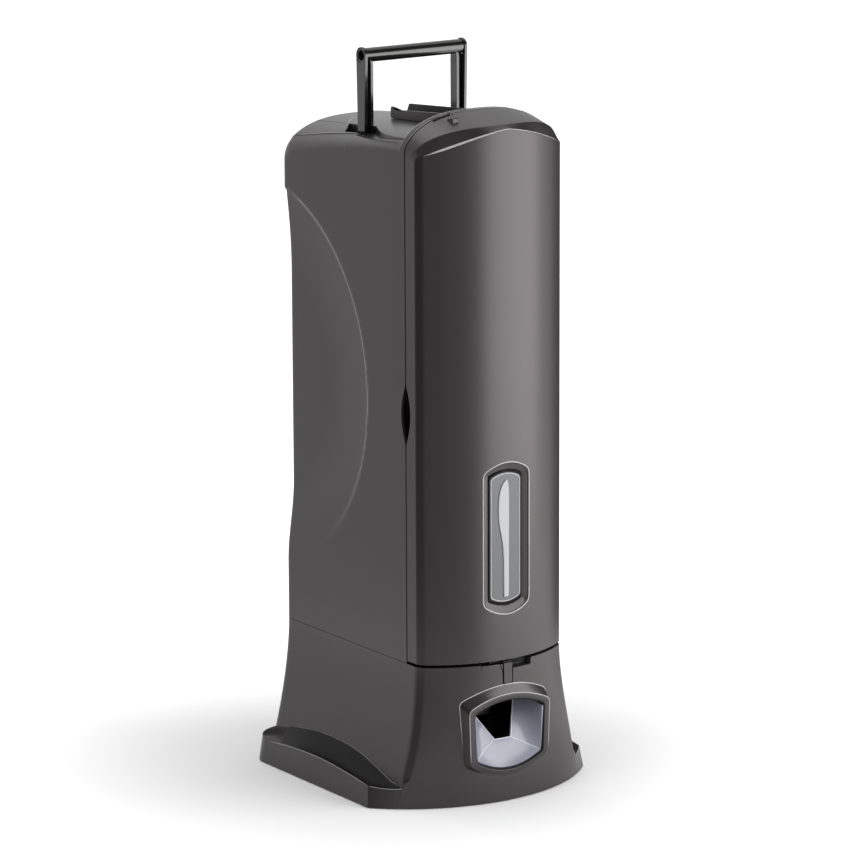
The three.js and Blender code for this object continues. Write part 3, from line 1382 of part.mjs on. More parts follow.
const deckFrame = new THREE.Group();
deckFrame.position.set(0, 0, deckCrownZ(0));
deckFrame.rotation.x = -deckPitch;
standing.add(deckFrame);
piece('latch_slide', latchSlide(), abs, deckFrame);
piece('latch_retainer', latchRetainer(), steel, deckFrame);
piece('latch_spring', coilSpring(latchSpringRadius, latchSpringWire, latchSpringLength, 8,
  latchKeelRearY + seatGap, [0, -latchSpringDrop]), steel, deckFrame);

piece('follower_weight', followerWeight(), innerGrey);
piece('hopper', hopper(), innerGrey);
piece('shuttle', shuttle(), innerGrey);
piece('shuttle_track', shuttleTrack(), innerGrey);
const springStartY = keelY + keelThickness + seatGap;
piece('return_spring', coilSpring(returnSpringRadius, returnSpringWire, springStopY - seatGap - springStartY, 8,
  springStartY, [0, returnSpringZ]), steel);
piece('push_scoop', pushScoop(), paleGrey);
piece('scoop_axle', rod(axleRadius, -axleHalfLength, axleHalfLength, [axleY, axleZ], 'x'), steel);

export default dispenser;
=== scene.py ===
import json
import math
import bpy
import bmesh
import numpy as np
from mathutils import Matrix, Vector


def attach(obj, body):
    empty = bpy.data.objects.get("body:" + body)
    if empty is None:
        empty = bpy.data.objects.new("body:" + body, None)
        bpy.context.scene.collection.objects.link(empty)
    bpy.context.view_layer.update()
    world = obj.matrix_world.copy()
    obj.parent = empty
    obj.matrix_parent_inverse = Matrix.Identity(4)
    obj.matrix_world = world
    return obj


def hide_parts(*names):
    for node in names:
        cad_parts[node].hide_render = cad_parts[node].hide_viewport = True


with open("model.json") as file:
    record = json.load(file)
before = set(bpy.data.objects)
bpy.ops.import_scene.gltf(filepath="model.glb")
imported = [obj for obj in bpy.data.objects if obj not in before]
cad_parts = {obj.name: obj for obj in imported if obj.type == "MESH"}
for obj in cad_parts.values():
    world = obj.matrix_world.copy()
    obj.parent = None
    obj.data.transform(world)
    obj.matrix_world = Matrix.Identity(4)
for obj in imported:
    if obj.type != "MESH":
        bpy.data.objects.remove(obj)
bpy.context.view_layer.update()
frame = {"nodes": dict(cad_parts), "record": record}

# Lengths below are real millimetres, X across the front, -Y to the user, Z up from the counter
column = {
    "halfWidth": 71.7, "rearY": 117.5, "rearCorner": 8.0, "cornerY": -89.0, "apexY": -114.9,
    "cornerCut": (3.0, 5.9), "wall": 2.6, "seamY": -71.5, "seamGap": 1.2, "slotX": (26.0, 44.0),
    "slotBlend": 0.5, "archPowers": (2.6, 1 / 1.8), "centringY": 0.25,
}
hw = column["halfWidth"]
# how near points are merged, how short edges are dropped, steps of a rounded edge, sides of a thin line
meshing = {"mergeMm": 0.002, "crumbMm": 0.001, "bevelSteps": 2, "beadSides": 8}


# Design millimetres to the frame's metres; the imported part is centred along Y
def toMetres(points):
    return (np.asarray(points, dtype=float) + (0.0, column["centringY"], 0.0)) / 1000.0


# Quads of a grid of points: (i, j) joins (i+1, j), (i+1, j+1) and (i, j+1); a wrapped grid closes on itself
def gridQuads(rows, columns, wrapRows=False, wrapColumns=False):
    i, j = np.meshgrid(np.arange(rows if wrapRows else rows - 1),
                       np.arange(columns if wrapColumns else columns - 1), indexing="ij")
    here, below = i * columns, (i + 1) % rows * columns
    nextJ = (j + 1) % columns
    return np.stack([here + j, below + j, below + nextJ, here + nextJ], axis=-1).reshape(-1, 4)


# An object of the scene that holds the given data
def newObject(name, data):
    thing = bpy.data.objects.new(name, data)
    bpy.context.scene.collection.objects.link(thing)
    return thing


# A mesh as a named piece: its material, edges sharper than the limit in degrees rounded by some millimetres,
# the body that it rides on and the CAD nodes that it replaces
def placePiece(name, mesh, look, body, replaces, edge, limit):
    piece = newObject(name, mesh)
    mesh.materials.append(finish[look])
    if edge:
        bevel = piece.modifiers.new("roundedEdges", "BEVEL")
        bevel.width = edge / 1000
        bevel.segments = meshing["bevelSteps"]
        bevel.limit_method = "ANGLE"
        bevel.angle_limit = math.radians(limit)
        bevel.use_clamp_overlap = True
        bevel.harden_normals = True
    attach(piece, body)
    if replaces:
        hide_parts(*replaces)


# One piece from several grids, their shared edges merged; smooth=False keeps edges past the limit crisp
def addPiece(name, grids, look, body, replaces=(), edge=0.0, limit=35, smooth=True):
    points, quads, start = [], [], 0
    for grid in grids:
        grid = dict(points=grid) if isinstance(grid, np.ndarray) else grid
        p = grid["points"]
        q = gridQuads(p.shape[0], p.shape[1], grid.get("wrapRows", False), grid.get("wrapColumns", False))
        if "drop" in grid:
            q = q[~grid["drop"](p.reshape(-1, 3)[q].mean(axis=1))]
        points.append(p.reshape(-1, 3))
        quads.append(q + start)
        start += len(points[-1])
    mesh = bpy.data.meshes.new(name)
    mesh.from_pydata(toMetres(np.concatenate(points)).tolist(), [], np.concatenate(quads).tolist())
    shape = bmesh.new()
    shape.from_mesh(mesh)
    bmesh.ops.remove_doubles(shape, verts=shape.verts, dist=meshing["mergeMm"] / 1000)
    bmesh.ops.dissolve_degenerate(shape, dist=meshing["crumbMm"] / 1000, edges=shape.edges)
    bmesh.ops.recalc_face_normals(shape, faces=shape.faces)
    shape.to_mesh(mesh)
    shape.free()
    mesh.shade_smooth()
    if not smooth:
        mesh.set_sharp_from_angle(angle=math.radians(limit))
    placePiece(name, mesh, look, body, replaces, edge, limit)


# A solid between two outlines with the same number of points, closed with a flat fan at both ends
def prismGrids(outline, start, end, axis):
    ring = np.asarray(outline, dtype=float)
    middle = ring.mean(axis=0)
    flat = np.stack([np.tile(middle, (len(ring), 1)), ring, ring, np.tile(middle, (len(ring), 1))])
    depth = np.array([start, start, end, end])[:, None] * np.ones(len(ring))
    order = {"x": (2, 0, 1), "y": (0, 2, 1), "z": (0, 1, 2)}[axis]
    stacked = np.concatenate([flat, depth[..., None]], axis=-1)
    return dict(points=stacked[..., order], wrapColumns=True)


# A loft through closed rings whose last ring joins the first, so that a frame or a washer closes on itself
def ringLoft(rings):
    return dict(points=np.stack(rings), wrapRows=True, wrapColumns=True)


# The belt that joins the outer edges of two grids with the same counts, in even steps from one to the other
def beltGrid(first, second, rings=2):
    start, end = (np.concatenate([g[:, 0], g[-1, 1:], g[-2::-1, -1], g[0, -2:0:-1]]) for g in (first, second))
    steps = [start * (1 - k) + end * k for k in np.linspace(0, 1, rings)]
    return dict(points=np.stack(steps), wrapColumns=True)


# An outline drawn across and up, set at one depth, or at a depth for each of its points
def atDepth(loop, y):
    return np.stack([loop[:, 0], np.full(len(loop), y), loop[:, 1]], axis=-1)


# A turned shape: radius and height pairs swept round an axis through a centre
def turned(profile, centre, axis, steps=48):
    profile = np.asarray(profile, dtype=float)
    angle = np.linspace(0, 2 * np.pi, steps, endpoint=False)
    a = profile[:, 0][:, None] * np.cos(angle)
    b = profile[:, 0][:, None] * np.sin(angle)
    along = profile[:, 1][:, None] * np.ones(steps)
    parts = {"x": (along, a, b), "y": (a, along, b), "z": (a, b, along)}[axis]
    return dict(points=np.stack(parts, axis=-1) + np.asarray(centre, dtype=float), wrapColumns=True)


# Thin raised line along a path: an ellipse swept along it, half sunk in the surface that faces along `out`
def beadGrid(path, out, halfWidth, height, closed=True, taper=None):
    tangent = np.roll(path, -1, axis=0) - np.roll(path, 1, axis=0) if closed else np.gradient(path, axis=0)
    out = np.asarray(out, dtype=float) * np.ones_like(path)
    across = np.cross(tangent, out)
    across /= np.linalg.norm(across, axis=1, keepdims=True) + 1e-9
    turn = np.linspace(0, 2 * np.pi, meshing["beadSides"], endpoint=False)[None, :, None]
    size = 1.0 if taper is None else taper[:, None, None]
    ring = halfWidth * np.sin(turn) * across[:, None, :] + height * np.cos(turn) * out[:, None, :]
    return dict(points=path[:, None, :] + size * ring, wrapRows=closed, wrapColumns=True)


# Taper of a line: thin at both ends, and full once the share of its length times the steepness is 1
def thinEnds(count, steepness):
    share = np.linspace(0, 1, count)
    return np.minimum(1, steepness * np.minimum(share, 1 - share))


# Smooth rise from 0 to 1 while the distance goes from -half to half: three times t squared less twice t cubed
def rise(distance, half):
    t = np.clip((distance + half) / (2 * half), 0, 1)
    return t * t * (3 - 2 * t)


# How far a rounded edge of this radius falls back at a distance from the outermost line
def roundDrop(radius, distance):
    inside = np.clip(radius - distance, 0, radius)
    return radius - np.sqrt(np.maximum(radius ** 2 - inside ** 2, 0))


# Even spacing with extra points crowded round each of the given places, within the reach
def spacing(start, end, step, crowds=(), reach=0.6):
    offsets = np.array([-1, -0.6, -0.35, -0.12, 0.12, 0.35, 0.6, 1])
    plain = np.linspace(start, end, int(round(abs(end - start) / step)) + 1)
    for place in crowds:
        near = (plain > place - reach * 1.3) & (plain < place + reach * 1.3)
        keepEnds = (plain == plain[0]) | (plain == plain[-1])
        plain = np.concatenate([plain[~near | keepEnds], place + offsets * reach])
    low, high = min(start, end), max(start, end)
    return np.unique(np.clip(plain, low, high).round(5))


# Bowed front: a circle through the middle and both corners, moved in by the inset, its corners cut off flat
def frontLine(x, inset=0.0, halfWidth=hw, apexY=column["apexY"], cornerY=column["cornerY"], cut=1.0):
    bulge = cornerY - apexY
    radius = (halfWidth ** 2 + bulge ** 2) / (2 * bulge)
    reach = np.minimum(np.abs(x), halfWidth - inset)
    across, back = column["cornerCut"]
    bend = halfWidth - inset - across * cut
    arc = apexY + radius - np.sqrt((radius - inset) ** 2 - np.minimum(reach, bend) ** 2)
    return arc + back * cut * np.maximum(reach - bend, 0) / np.maximum(across * cut, 1e-6)


# Straight back whose corners turn through a quarter circle
def rearLine(x, inset=0.0):
    return column["rearY"] - inset - roundDrop(column["rearCorner"], hw - inset - np.abs(x))


# 1 within the two short slots that lie across the seam
def seamSlot(x):
    inner, outer = column["slotX"]
    blend = column["slotBlend"]
    return rise(np.abs(x) - inner, blend) * rise(outer - np.abs(x), blend)


# Crown in the middle, shoulder at the sides, and between them an ellipse-like curve with powers of its own
def arch(x, crown, shoulder, halfWidth=hw):
    share = np.minimum(1, np.abs(x) / halfWidth)
    across, up = column["archPowers"]
    return shoulder + (crown - shoulder) * np.maximum(0, 1 - share ** across) ** up


# sRGB hex to the linear colour that a shader takes
def toLinear(code):
    parts = [int(code[k:k + 2], 16) / 255 for k in (1, 3, 5)]
    return [c / 12.92 if c <= 0.04045 else ((c + 0.055) / 1.055) ** 2.4 for c in parts] + [1.0]


# Tree of a new material or world with its first nodes taken out
def emptyTree(holder):
    holder.use_nodes = True
    holder.node_tree.nodes.clear()
    return holder.node_tree


# One node with its settings; an input is linked where it is given a socket, and set otherwise
def addNode(tree, kind, inputs=None, **settings):
    node = tree.nodes.new(kind)
    for key, value in settings.items():
        setattr(node, key, value)
    for key, value in (inputs or {}).items():
        if isinstance(value, bpy.types.NodeSocket):
            tree.links.new(value, node.inputs[key])
        else:
            node.inputs[key].default_value = value
    return node


# Plastic, metal or rubber: a base finish with a slow drift of colour and a fine grain in gloss and relief
def surface(name, look):
    material = bpy.data.materials.new(name)
    tree = emptyTree(material)
    place = addNode(tree, "ShaderNodeTexCoord")
    drift = addNode(tree, "ShaderNodeTexNoise", {
        "Vector": place.outputs["Object"], "Scale": 1000 / look["driftMm"], "Detail": 2.0})
    grain = addNode(tree, "ShaderNodeTexNoise", {
        "Vector": place.outputs["Object"], "Scale": 1000 / look["grainMm"], "Detail": 3.0, "Roughness": 0.6})
    colour = addNode(tree, "ShaderNodeMix", {"Factor": drift.outputs["Fac"]}, data_type="RGBA")
    colour.inputs[6].default_value = toLinear(look["colour"])
    colour.inputs[7].default_value = toLinear(look["colourAway"])
    base = colour.outputs[2]
    if "fade" in look:
        # painted shade that thins towards the rear: runs into another colour towards the rear, along a line
        # that slants with the way outwards
        other, slant, startMm, endMm = look["fade"]
        parts = addNode(tree, "ShaderNodeSeparateXYZ", {0: place.outputs["Object"]})
        sideways = addNode(tree, "ShaderNodeMath", {0: parts.outputs["X"]}, operation="ABSOLUTE")
        along = addNode(tree, "ShaderNodeMath", {0: sideways.outputs[0], 1: slant, 2: parts.outputs["Y"]},
                        operation="MULTIPLY_ADD")
        share = addNode(tree, "ShaderNodeMapRange", {
            "Value": along.outputs[0], "From Min": startMm / 1000, "From Max": endMm / 1000},
            interpolation_type="SMOOTHSTEP")
        faded = addNode(tree, "ShaderNodeMix", {"Factor": share.outputs["Result"]}, data_type="RGBA")
        tree.links.new(base, faded.inputs[6])
        faded.inputs[7].default_value = toLinear(other)
        base = faded.outputs[2]
    gloss = addNode(tree, "ShaderNodeMapRange", {
        "Value": grain.outputs["Fac"], "To Min": look["rough"][0], "To Max": look["rough"][1]})
    bump = addNode(tree, "ShaderNodeBump", {
        "Height": grain.outputs["Fac"], "Strength": look["relief"], "Distance": look["grainMm"] / 8000})
    shader = addNode(tree, "ShaderNodeBsdfPrincipled", {
        "Base Color": base, "Roughness": gloss.outputs["Result"], "Normal": bump.outputs["Normal"],
        "Metallic": look.get("metallic", 0.0), "IOR": look.get("ior", 1.5),
        "Specular Tint": toLinear(look.get("sheen", "#ffffff")),
        "Coat Weight": look.get("coat", 0.0), "Coat Roughness": look.get("coatRough", 0.1),
        "Transmission Weight": look.get("clear", 0.0)})
    addNode(tree, "ShaderNodeOutputMaterial", {"Surface": shader.outputs["BSDF"]})
    return material


looks = {
    # injection-moulded ABS in charcoal: an even satin skin with a soft, slightly warm sheen
    "mouldedCharcoalAbs": {"colour": "#262425", "colourAway": "#292728", "driftMm": 90, "grainMm": 1.1,
                           "rough": (0.3, 0.36), "relief": 0.05, "ior": 1.5, "sheen": "#fff6f7"},
    # painted shade: the same resin in the deep coves of the foot, coloured almost black, matt, and lighter
    # towards the rear where the shade thins
    "paintedShadeCoveAbs": {"colour": "#0c0b0b", "colourAway": "#0f0e0e", "driftMm": 60, "grainMm": 1.0,
                    "rough": (0.55, 0.65), "relief": 0.1, "ior": 1.33, "fade": ("#302e2f", 1.26, 150, 208)},
    # near black, spark-textured: painted shade on the sheets, cheeks, shaft and shuttle inside the openings
    # and gaps, which read as deep shade; also the door's pivot pin and key tab
    "blackPartsAndPaintedShade": {"colour": "#0a0a0a", "colourAway": "#0d0d0d", "driftMm": 30, "grainMm": 0.9,
                        "rough": (0.6, 0.7), "relief": 0.1, "ior": 1.33},
    # charcoal ABS left with the tool's coarser inner texture: duller and a little darker; on the latch's far
    # wall and floor the darker colour is painted shade
    "innerAbsAndPaintedShade": {"colour": "#1c1b1c", "colourAway": "#212021", "driftMm": 60, "grainMm": 1.0,
                         "rough": (0.48, 0.6), "relief": 0.2, "ior": 1.5},
    # glass-filled nylon polished in the mould: near black, wet-looking gloss
    "polishedBlackNylon": {"colour": "#161514", "colourAway": "#1d1b1a", "driftMm": 30, "grainMm": 1.5,
                           "rough": (0.16, 0.22), "relief": 0.02, "ior": 1.52, "coat": 0.3,
                           "coatRough": 0.08},
    # painted highlight: pale grey gloss on thin raised lines along edges, standing in for the light that the
    # edges catch
    "paintedHighlightAbs": {"colour": "#a3a1a2", "colourAway": "#abaaaa", "driftMm": 40, "grainMm": 1.2,
                        "rough": (0.1, 0.14), "relief": 0.02, "ior": 1.5},
    # grey ABS plate, fine satin
    "satinGreyAbs": {"colour": "#4c4d50", "colourAway": "#515255", "driftMm": 40, "grainMm": 0.9,
                     "rough": (0.32, 0.4), "relief": 0.05, "ior": 1.5},
    # pale pad-printed ink with a slight thickness
    "paleInk": {"colour": "#a5a6a9", "colourAway": "#9fa0a4", "driftMm": 12, "grainMm": 0.8,
                "rough": (0.4, 0.5), "relief": 0.1, "ior": 1.48},
    # painted highlight: nearly white polypropylene on the scoop's thick edges, standing in for the light that
    # gathers there
    "paintedHighlightPolypropylene": {"colour": "#d3d5dc", "colourAway": "#cbced8", "driftMm": 25, "grainMm": 2.0,
                            "rough": (0.16, 0.24), "relief": 0.02, "ior": 1.49},
    # natural polypropylene, moulded thin: milky, lets some light through, smooth gloss
    "milkyPolypropylene": {"colour": "#9a9da8", "colourAway": "#9195a3", "driftMm": 25, "grainMm": 2.0,
                           "rough": (0.16, 0.24), "relief": 0.03, "ior": 1.49, "clear": 0.25},
    # nitrile rubber feet: dull, with a dusty grain
    "nitrileRubber": {"colour": "#1b1b1b", "colourAway": "#242423", "driftMm": 8, "grainMm": 0.7,
                      "rough": (0.75, 0.9), "relief": 0.35, "ior": 1.5},
    # steel blackened in a hot salt bath: dark, with a dull metallic sheen
    "blackenedSteel": {"colour": "#2b2a2b", "colourAway": "#232324", "driftMm": 6, "grainMm": 0.6,
                       "rough": (0.4, 0.5), "relief": 0.08, "metallic": 1.0, "ior": 1.5},
    # zinc-plated steel: cool grey metal with a faint cloudy shine
    "zincPlatedSteel": {"colour": "#b3b6ba", "colourAway": "#9da1a6", "driftMm": 6, "grainMm": 0.6,
                        "rough": (0.24, 0.36), "relief": 0.08, "metallic": 1.0, "ior": 1.5},
}
finish = {name: surface(name, look) for name, look in looks.items()}
print("materials made:", len(finish))


door = {
    "bottomZ": 121.5, "crownZ": 577.0, "shoulderZ": 546.0, "crownFall": 0.23, "shoulderFall": 0.25,
    "band": 7.0, "creaseCrownZ": 566.3, "creaseSideFall": 21.3, "creasePower": 1.4,
    "recessHalfWidth": 23.0, "recessLowZ": 169.0, "recessHighZ": 281.0, "recessArch": 8.5, "recessDepth": 5.6,
    "slopeWidth": 7.2, "recessCorner": 5.0, "seatDepth": 1.7, "lipDepth": 0.5, "backWall": 2.0,
    "notchLowZ": 304.5, "notchHighZ": 355.0, "notchReach": 6.0,
    "nibX": -33.0, "nibY": -84.0, "nibHalf": 3.0, "creaseRound": 1.1, "slotDepth": 2.6, "slotReach": 2.9,
    # the painted highlight on the crease: half its length, how it thins at the ends, its share at the right,
    # size
    "lineHalfX": 67.5, "lineFade": 12.0, "lineFaint": 0.35, "lineSize": (1.1, 0.45),
}


# The arch of the door's top, which sinks a little towards the front
def doorTop(x, y, inset):
    fall = column["seamY"] - y
    return arch(x, door["crownZ"] - door["crownFall"] * fall - inset,
                door["shoulderZ"] - door["shoulderFall"] * fall - inset, hw - inset)


# Height of the door's top: the arch, and within the band a nearly flat slope down to the crease
def doorHeight(x, y, inset):
    top = doorTop(x, y, inset)
    share = np.clip(1 - (y - frontLine(x, inset)) / door["band"], 0, 1)
    crease = door["creaseCrownZ"] - inset - door["creaseSideFall"] * (np.abs(x) / hw) ** door["creasePower"]
    top = np.minimum(top, crease + (top - crease) * (1 - share ** 1.25))
    sunk = door["slotDepth"] * seamSlot(x) * rise(y - column["seamY"] + door["slotReach"], 0.3)
    return top - roundDrop(door["creaseRound"], y - frontLine(x, inset)) - sunk


# Distance inside the upright outline with arched ends, rounded where the sides meet the ends
def insideArched(x, z, halfWidth, lowZ, highZ, bend, corner):
    bow = bend * (1 - np.clip(np.abs(x) / halfWidth, 0, 1) ** 2)
    across = halfWidth - np.abs(x)
    up = np.minimum(z - lowZ + bow, highZ + bow - z) * 0.94
    both = np.minimum(across, corner), np.minimum(up, corner)
    rounded = corner - np.hypot(corner - both[0], corner - both[1])
    return np.where((across < corner) & (up < corner), rounded, np.minimum(across, up))


# Sunk depth of the icon recess: rounded lip, sloped frame, then the seat of the plate
def recessSunk(x, z):
    d = insideArched(x, z, door["recessHalfWidth"], door["recessLowZ"], door["recessHighZ"],
                     door["recessArch"], door["recessCorner"])
    slope = np.clip(d / door["slopeWidth"], 0, 1)
    lip, seat = door["lipDepth"], door["seatDepth"]
    frameDepth = (door["recessDepth"] - lip - seat) * slope + lip * rise(d - 0.35, 0.35)
    return frameDepth + seat * rise(d - door["slopeWidth"] + 0.3, 0.4)


# Depth share of the finger notches by height: half a sine wave
def lens(z):
    share = np.clip((z - door["notchLowZ"]) / (door["notchHighZ"] - door["notchLowZ"]), 0, 1)
    return np.sin(share * np.pi)


# Two skins a wall apart, each a top from the front line to the seam and a wall down from the top's edge
def doorGrids():
    seamEdge = column["seamY"] - column["seamGap"] / 2
    # rows stand close together over the recess and the finger notches
    levels = np.concatenate([[door["bottomZ"]], spacing(125, 157, 8), spacing(158.5, 292, 0.85),
                             spacing(296, 364, 1.7), spacing(380, 530, 30)])
    grids, loops = [], []
    for inset in (0.0, column["wall"]):
        # the corner turns through as many places outside as inside, so both skins share their counts
        half = hw - inset
        bend = half - column["cornerCut"][0]
        middle = np.concatenate([np.linspace(-bend, -27.5, 22), np.linspace(-26, 26, 71),
                                 np.linspace(27.5, bend, 22)])
        outer = bend + (half - bend) * np.linspace(0, 1, 4)[1:]
        xs = np.concatenate([-outer[::-1], middle, outer])
        front = frontLine(xs, inset)
        crease = np.array([0, 0.03, 0.12, 0.27, 0.5, 0.75, 1.0]) * door["creaseRound"]
        slope = np.array([0.35, 0.6, 0.8, 0.955, 1.0]) * door["band"]
        band = front[:, None] + np.concatenate([crease, slope])[None, :]
        lastY = seamEdge - np.array([2.4, 2.0, 1.6, 0.8, 0.0])[None, :] * np.ones((len(xs), 1))
        startY = np.minimum(band[:, -1:] + 0.35, lastY[:, :1] - 1)
        rest = startY + np.linspace(0, 1, 10)[None, :] * (lastY[:, :1] - 0.3 - startY)
        rest = np.concatenate([rest, lastY], axis=1)
        y = np.concatenate([band, rest], axis=1)
        x = np.repeat(xs[:, None], y.shape[1], axis=1)
        top = np.stack([x, y, doorHeight(x, y, inset)], axis=-1)
        edge = np.concatenate([top[0, :0:-1], top[:, 0], top[-1, 1:]])
        topZ = edge[:, 2][:, None]
        z = np.concatenate([np.minimum(levels[None, :], topZ - 6), topZ - 3, topZ - 0.6, topZ], axis=1)
        wallX = np.repeat(edge[:, 0][:, None], z.shape[1], axis=1)
        wallY = np.repeat(edge[:, 1][:, None], z.shape[1], axis=1)
        sunk = recessSunk(wallX, z)
        if inset:
            sunk = np.maximum(sunk + door["backWall"] - inset, 0)
        wallY = wallY + np.where((np.abs(wallX) < 40) & (z < 300), sunk, 0)
        # finger notches: the rear edge of each side curves forward
        frontEnd = frontLine(np.array([half]), inset)[0]
        share = np.clip((wallY - frontEnd) / (seamEdge - frontEnd), 0, 1)
        wallY = np.where(np.abs(wallX) > half - 1e-3, wallY - share * door["notchReach"] * lens(z), wallY)
        wall = np.stack([wallX, wallY, z], axis=-1)
        grids += [dict(points=top), dict(points=wall)]
        loops.append(np.concatenate([wall[0, ::-1], wall[1:-1, 0], wall[-1, :], top[-2:0:-1, -1]]))
    # one belt along the bottom and the seam closes the two skins
    grids.append(dict(points=np.stack(loops), wrapColumns=True))
    return grids


# Small wedge that stands on the door's top
def nibGrid():
    x, y, half = door["nibX"], door["nibY"], door["nibHalf"]
    lift = float(doorTop(np.array(x), np.array(y), 0.0))
    outline = [(y - 5, lift - 3), (y + 4.5, lift - 3), (y + 4.0, lift + 1.0), (y - 3.0, lift + 3.0),
               (y - 4.2, lift + 2.4)]
    return prismGrids(outline, x - half, x + half, "x")


# Painted highlight: a pale thin line along the crease, full at the left and faint at the right
def creaseHighlightGrid():
    half = door["lineHalfX"]
    x = np.linspace(-half, half, 120)
    y = frontLine(x) + 0.3
    path = np.stack([x, y, doorHeight(x, y, 0.0)], axis=-1)
    strong = door["lineFaint"] + (1 - door["lineFaint"]) * rise(-24 - x, 30)
    taper = np.minimum(1, (half - np.abs(x)) / door["lineFade"]) * strong
    return beadGrid(path, (0, -0.75, 0.66), *door["lineSize"], closed=False, taper=taper)


addPiece("door_cover", doorGrids(), "mouldedCharcoalAbs", "door", ["door_shell"], edge=0.45)
addPiece("door_nib", [nibGrid()], "mouldedCharcoalAbs", "door", edge=0.5)
addPiece("door_crease_highlight", [creaseHighlightGrid()], "paintedHighlightAbs", "door")
print("door made")


plate = {"halfWidth": 15.2, "lowZ": 174.0, "highZ": 276.0, "bend": 4.1, "thickness": 1.6, "corner": 3.0,
         "rimIn": 0.9, "gapOut": 0.45, "lipCorner": 7.0}
knife = {
    "thickness": 0.8,
    # outline in millimetres across and up: straight back at the right, belly at the left, narrow handle below
    "outline": [(-1.7, 175.6), (0.6, 174.9), (2.9, 175.8), (3.2, 190), (3.2, 215), (3.3, 240), (3.2, 262),
                (2.4, 271.5), (1.2, 274.0), (-0.9, 272.6), (-4.2, 267.5), (-6.4, 259), (-7.0, 248),
                (-6.2, 237), (-4.2, 227), (-2.6, 217), (-2.0, 205), (-2.0, 190)],
}


# Closed outline through points, evened out along its length and softened by a running mean this long
def softened(points, soft, count=240):
    loop = np.vstack([points, points[:1]])
    length = np.concatenate([[0], np.cumsum(np.hypot(*np.diff(loop, axis=0).T))])
    at = np.linspace(0, length[-1], count, endpoint=False)
    even = np.stack([np.interp(at, length, loop[:, 0]), np.interp(at, length, loop[:, 1])], axis=-1)
    width = max(1, int(round(soft / (length[-1] / count))))
    kernel = np.hanning(2 * width + 3)[1:-1]
    kernel = kernel / kernel.sum()
    wrapped = np.concatenate([even[-len(kernel):], even, even[:len(kernel)]])
    smoothed = np.stack([np.convolve(wrapped[:, k], kernel, mode="same") for k in (0, 1)], axis=-1)
    return smoothed[len(kernel):-len(kernel)]


# Smooth closed curve through points: each span is a cubic whose slopes come from its neighbours
def throughPoints(points, steps=10):
    p = np.asarray(points, dtype=float)
    t = np.linspace(0, 1, steps, endpoint=False)[None, :, None]
    a, b, c, d = (np.roll(p, k, axis=0)[:, None] for k in (1, 0, -1, -2))
    square, cube = 2 * a - 5 * b + 4 * c - d, 3 * b - a - 3 * c + d
    return (0.5 * (2 * b + (c - a) * t + square * t ** 2 + cube * t ** 3)).reshape(-1, 2)


# Upright outline whose two ends are parabolas that stand out by the bend
def archedLoop(halfWidth, lowZ, highZ, bend):
    t = np.linspace(-1, 1, 25)
    low = np.stack([t * halfWidth, lowZ - bend * (1 - t ** 2)], axis=-1)
    high = np.stack([-t * halfWidth, highZ + bend * (1 - t ** 2)], axis=-1)
    return np.concatenate([low, high])


# The plate's own outline, grown by some millimetres to every side
def plateOutline(grown=0.0):
    return softened(archedLoop(plate["halfWidth"] + grown, plate["lowZ"] - grown, plate["highZ"] + grown,
                               plate["bend"]), plate["corner"])


plateBackY = column["apexY"] + door["recessDepth"] - 0.3
plateFaceY = plateBackY - plate["thickness"]
addPiece("icon_plate", [prismGrids(plateOutline(), plateFaceY, plateBackY, "y")], "satinGreyAbs", "door",
         ["door_icon_panel"], edge=0.5, limit=60)
knifeFaceY = plateFaceY - knife["thickness"]
addPiece("knife_mark", [prismGrids(throughPoints(knife["outline"]), knifeFaceY, plateFaceY + 0.1, "y")],
         "paleInk", "door", ["door_knife_mark"], edge=0.2, limit=60)
# painted highlights: pale lines on the plate's rim and along the recess's lip
rimPath = atDepth(plateOutline(-plate["rimIn"]), plateFaceY)
lipLoop = softened(archedLoop(door["recessHalfWidth"], door["recessLowZ"], door["recessHighZ"],
                              door["recessArch"]), plate["lipCorner"])
lipPath = atDepth(lipLoop, frontLine(lipLoop[:, 0]))
addPiece("icon_rim_highlights", [beadGrid(rimPath, (0, -1, 0), 0.45, 0.3), beadGrid(lipPath, (0, -1, 0), 0.5, 0.3)],
         "paintedHighlightAbs", "door")
# painted shade: a near-black line behind the plate's edge stands for the shaded gap round it
gapPath = atDepth(plateOutline(plate["gapOut"]), plateBackY - 0.7)
addPiece("icon_gap_shade", [beadGrid(gapPath, (0, -1, 0), 0.75, 0.5)], "blackPartsAndPaintedShade", "door")
print("icon made")


housing = {
    "bottomZ": 119.4, "flange": 4.5, "ledge": 10.0, "rimDepth": 7.0, "rimCrownZ": 577.0,
    "rimShoulderZ": 546.0, "deckCrownZ": 562.0, "deckFall": 10.5 / 189.0, "shoulderFrontZ": 546.0,
    "shoulderFall": 25.0, "shoulderPower": 1.7, "rearRound": 9.0, "rimRound": 0.8,
    "slotDepth": 4.0, "slotReach": 2.6, "scallopBand": 12.0, "notchLength": 14.0,
    "pocketX": (40.0, 56.0), "pocketY": (18.0, 41.0, 60.0), "pocketFloorZ": 539.5,
    "stepCrestX": 57.5, "stepCrestY": -50.0, "stepPower": 2.4, "stepRearZ": 549.0, "stepRise": 4.8,
    "stepLength": 68.0, "ridgeX": 56.0, "ridgeSplay": 0.0746, "ridgeDrop": 0.7,
    "scallopY": 153.0, "scallopZ": 332.0, "scallopRadius": 167.0, "scallopInner": 38.0,
    "scallopStep": 1.6, "scallopDepth": 6.2, "scallopFull": 0.53,
    # each half of the arc drawn on the deck behind the handle, from its side to the middle
    "deckArc": [(54, 44), (46, 53), (38, 63.5), (31, 72), (24, 79), (18, 82.5), (11, 83)],
    "lineHalf": 0.3, "lineHeight": 0.18, "edgeHeight": 0.15,
}
housingFrontY = column["seamY"] + column["seamGap"] / 2
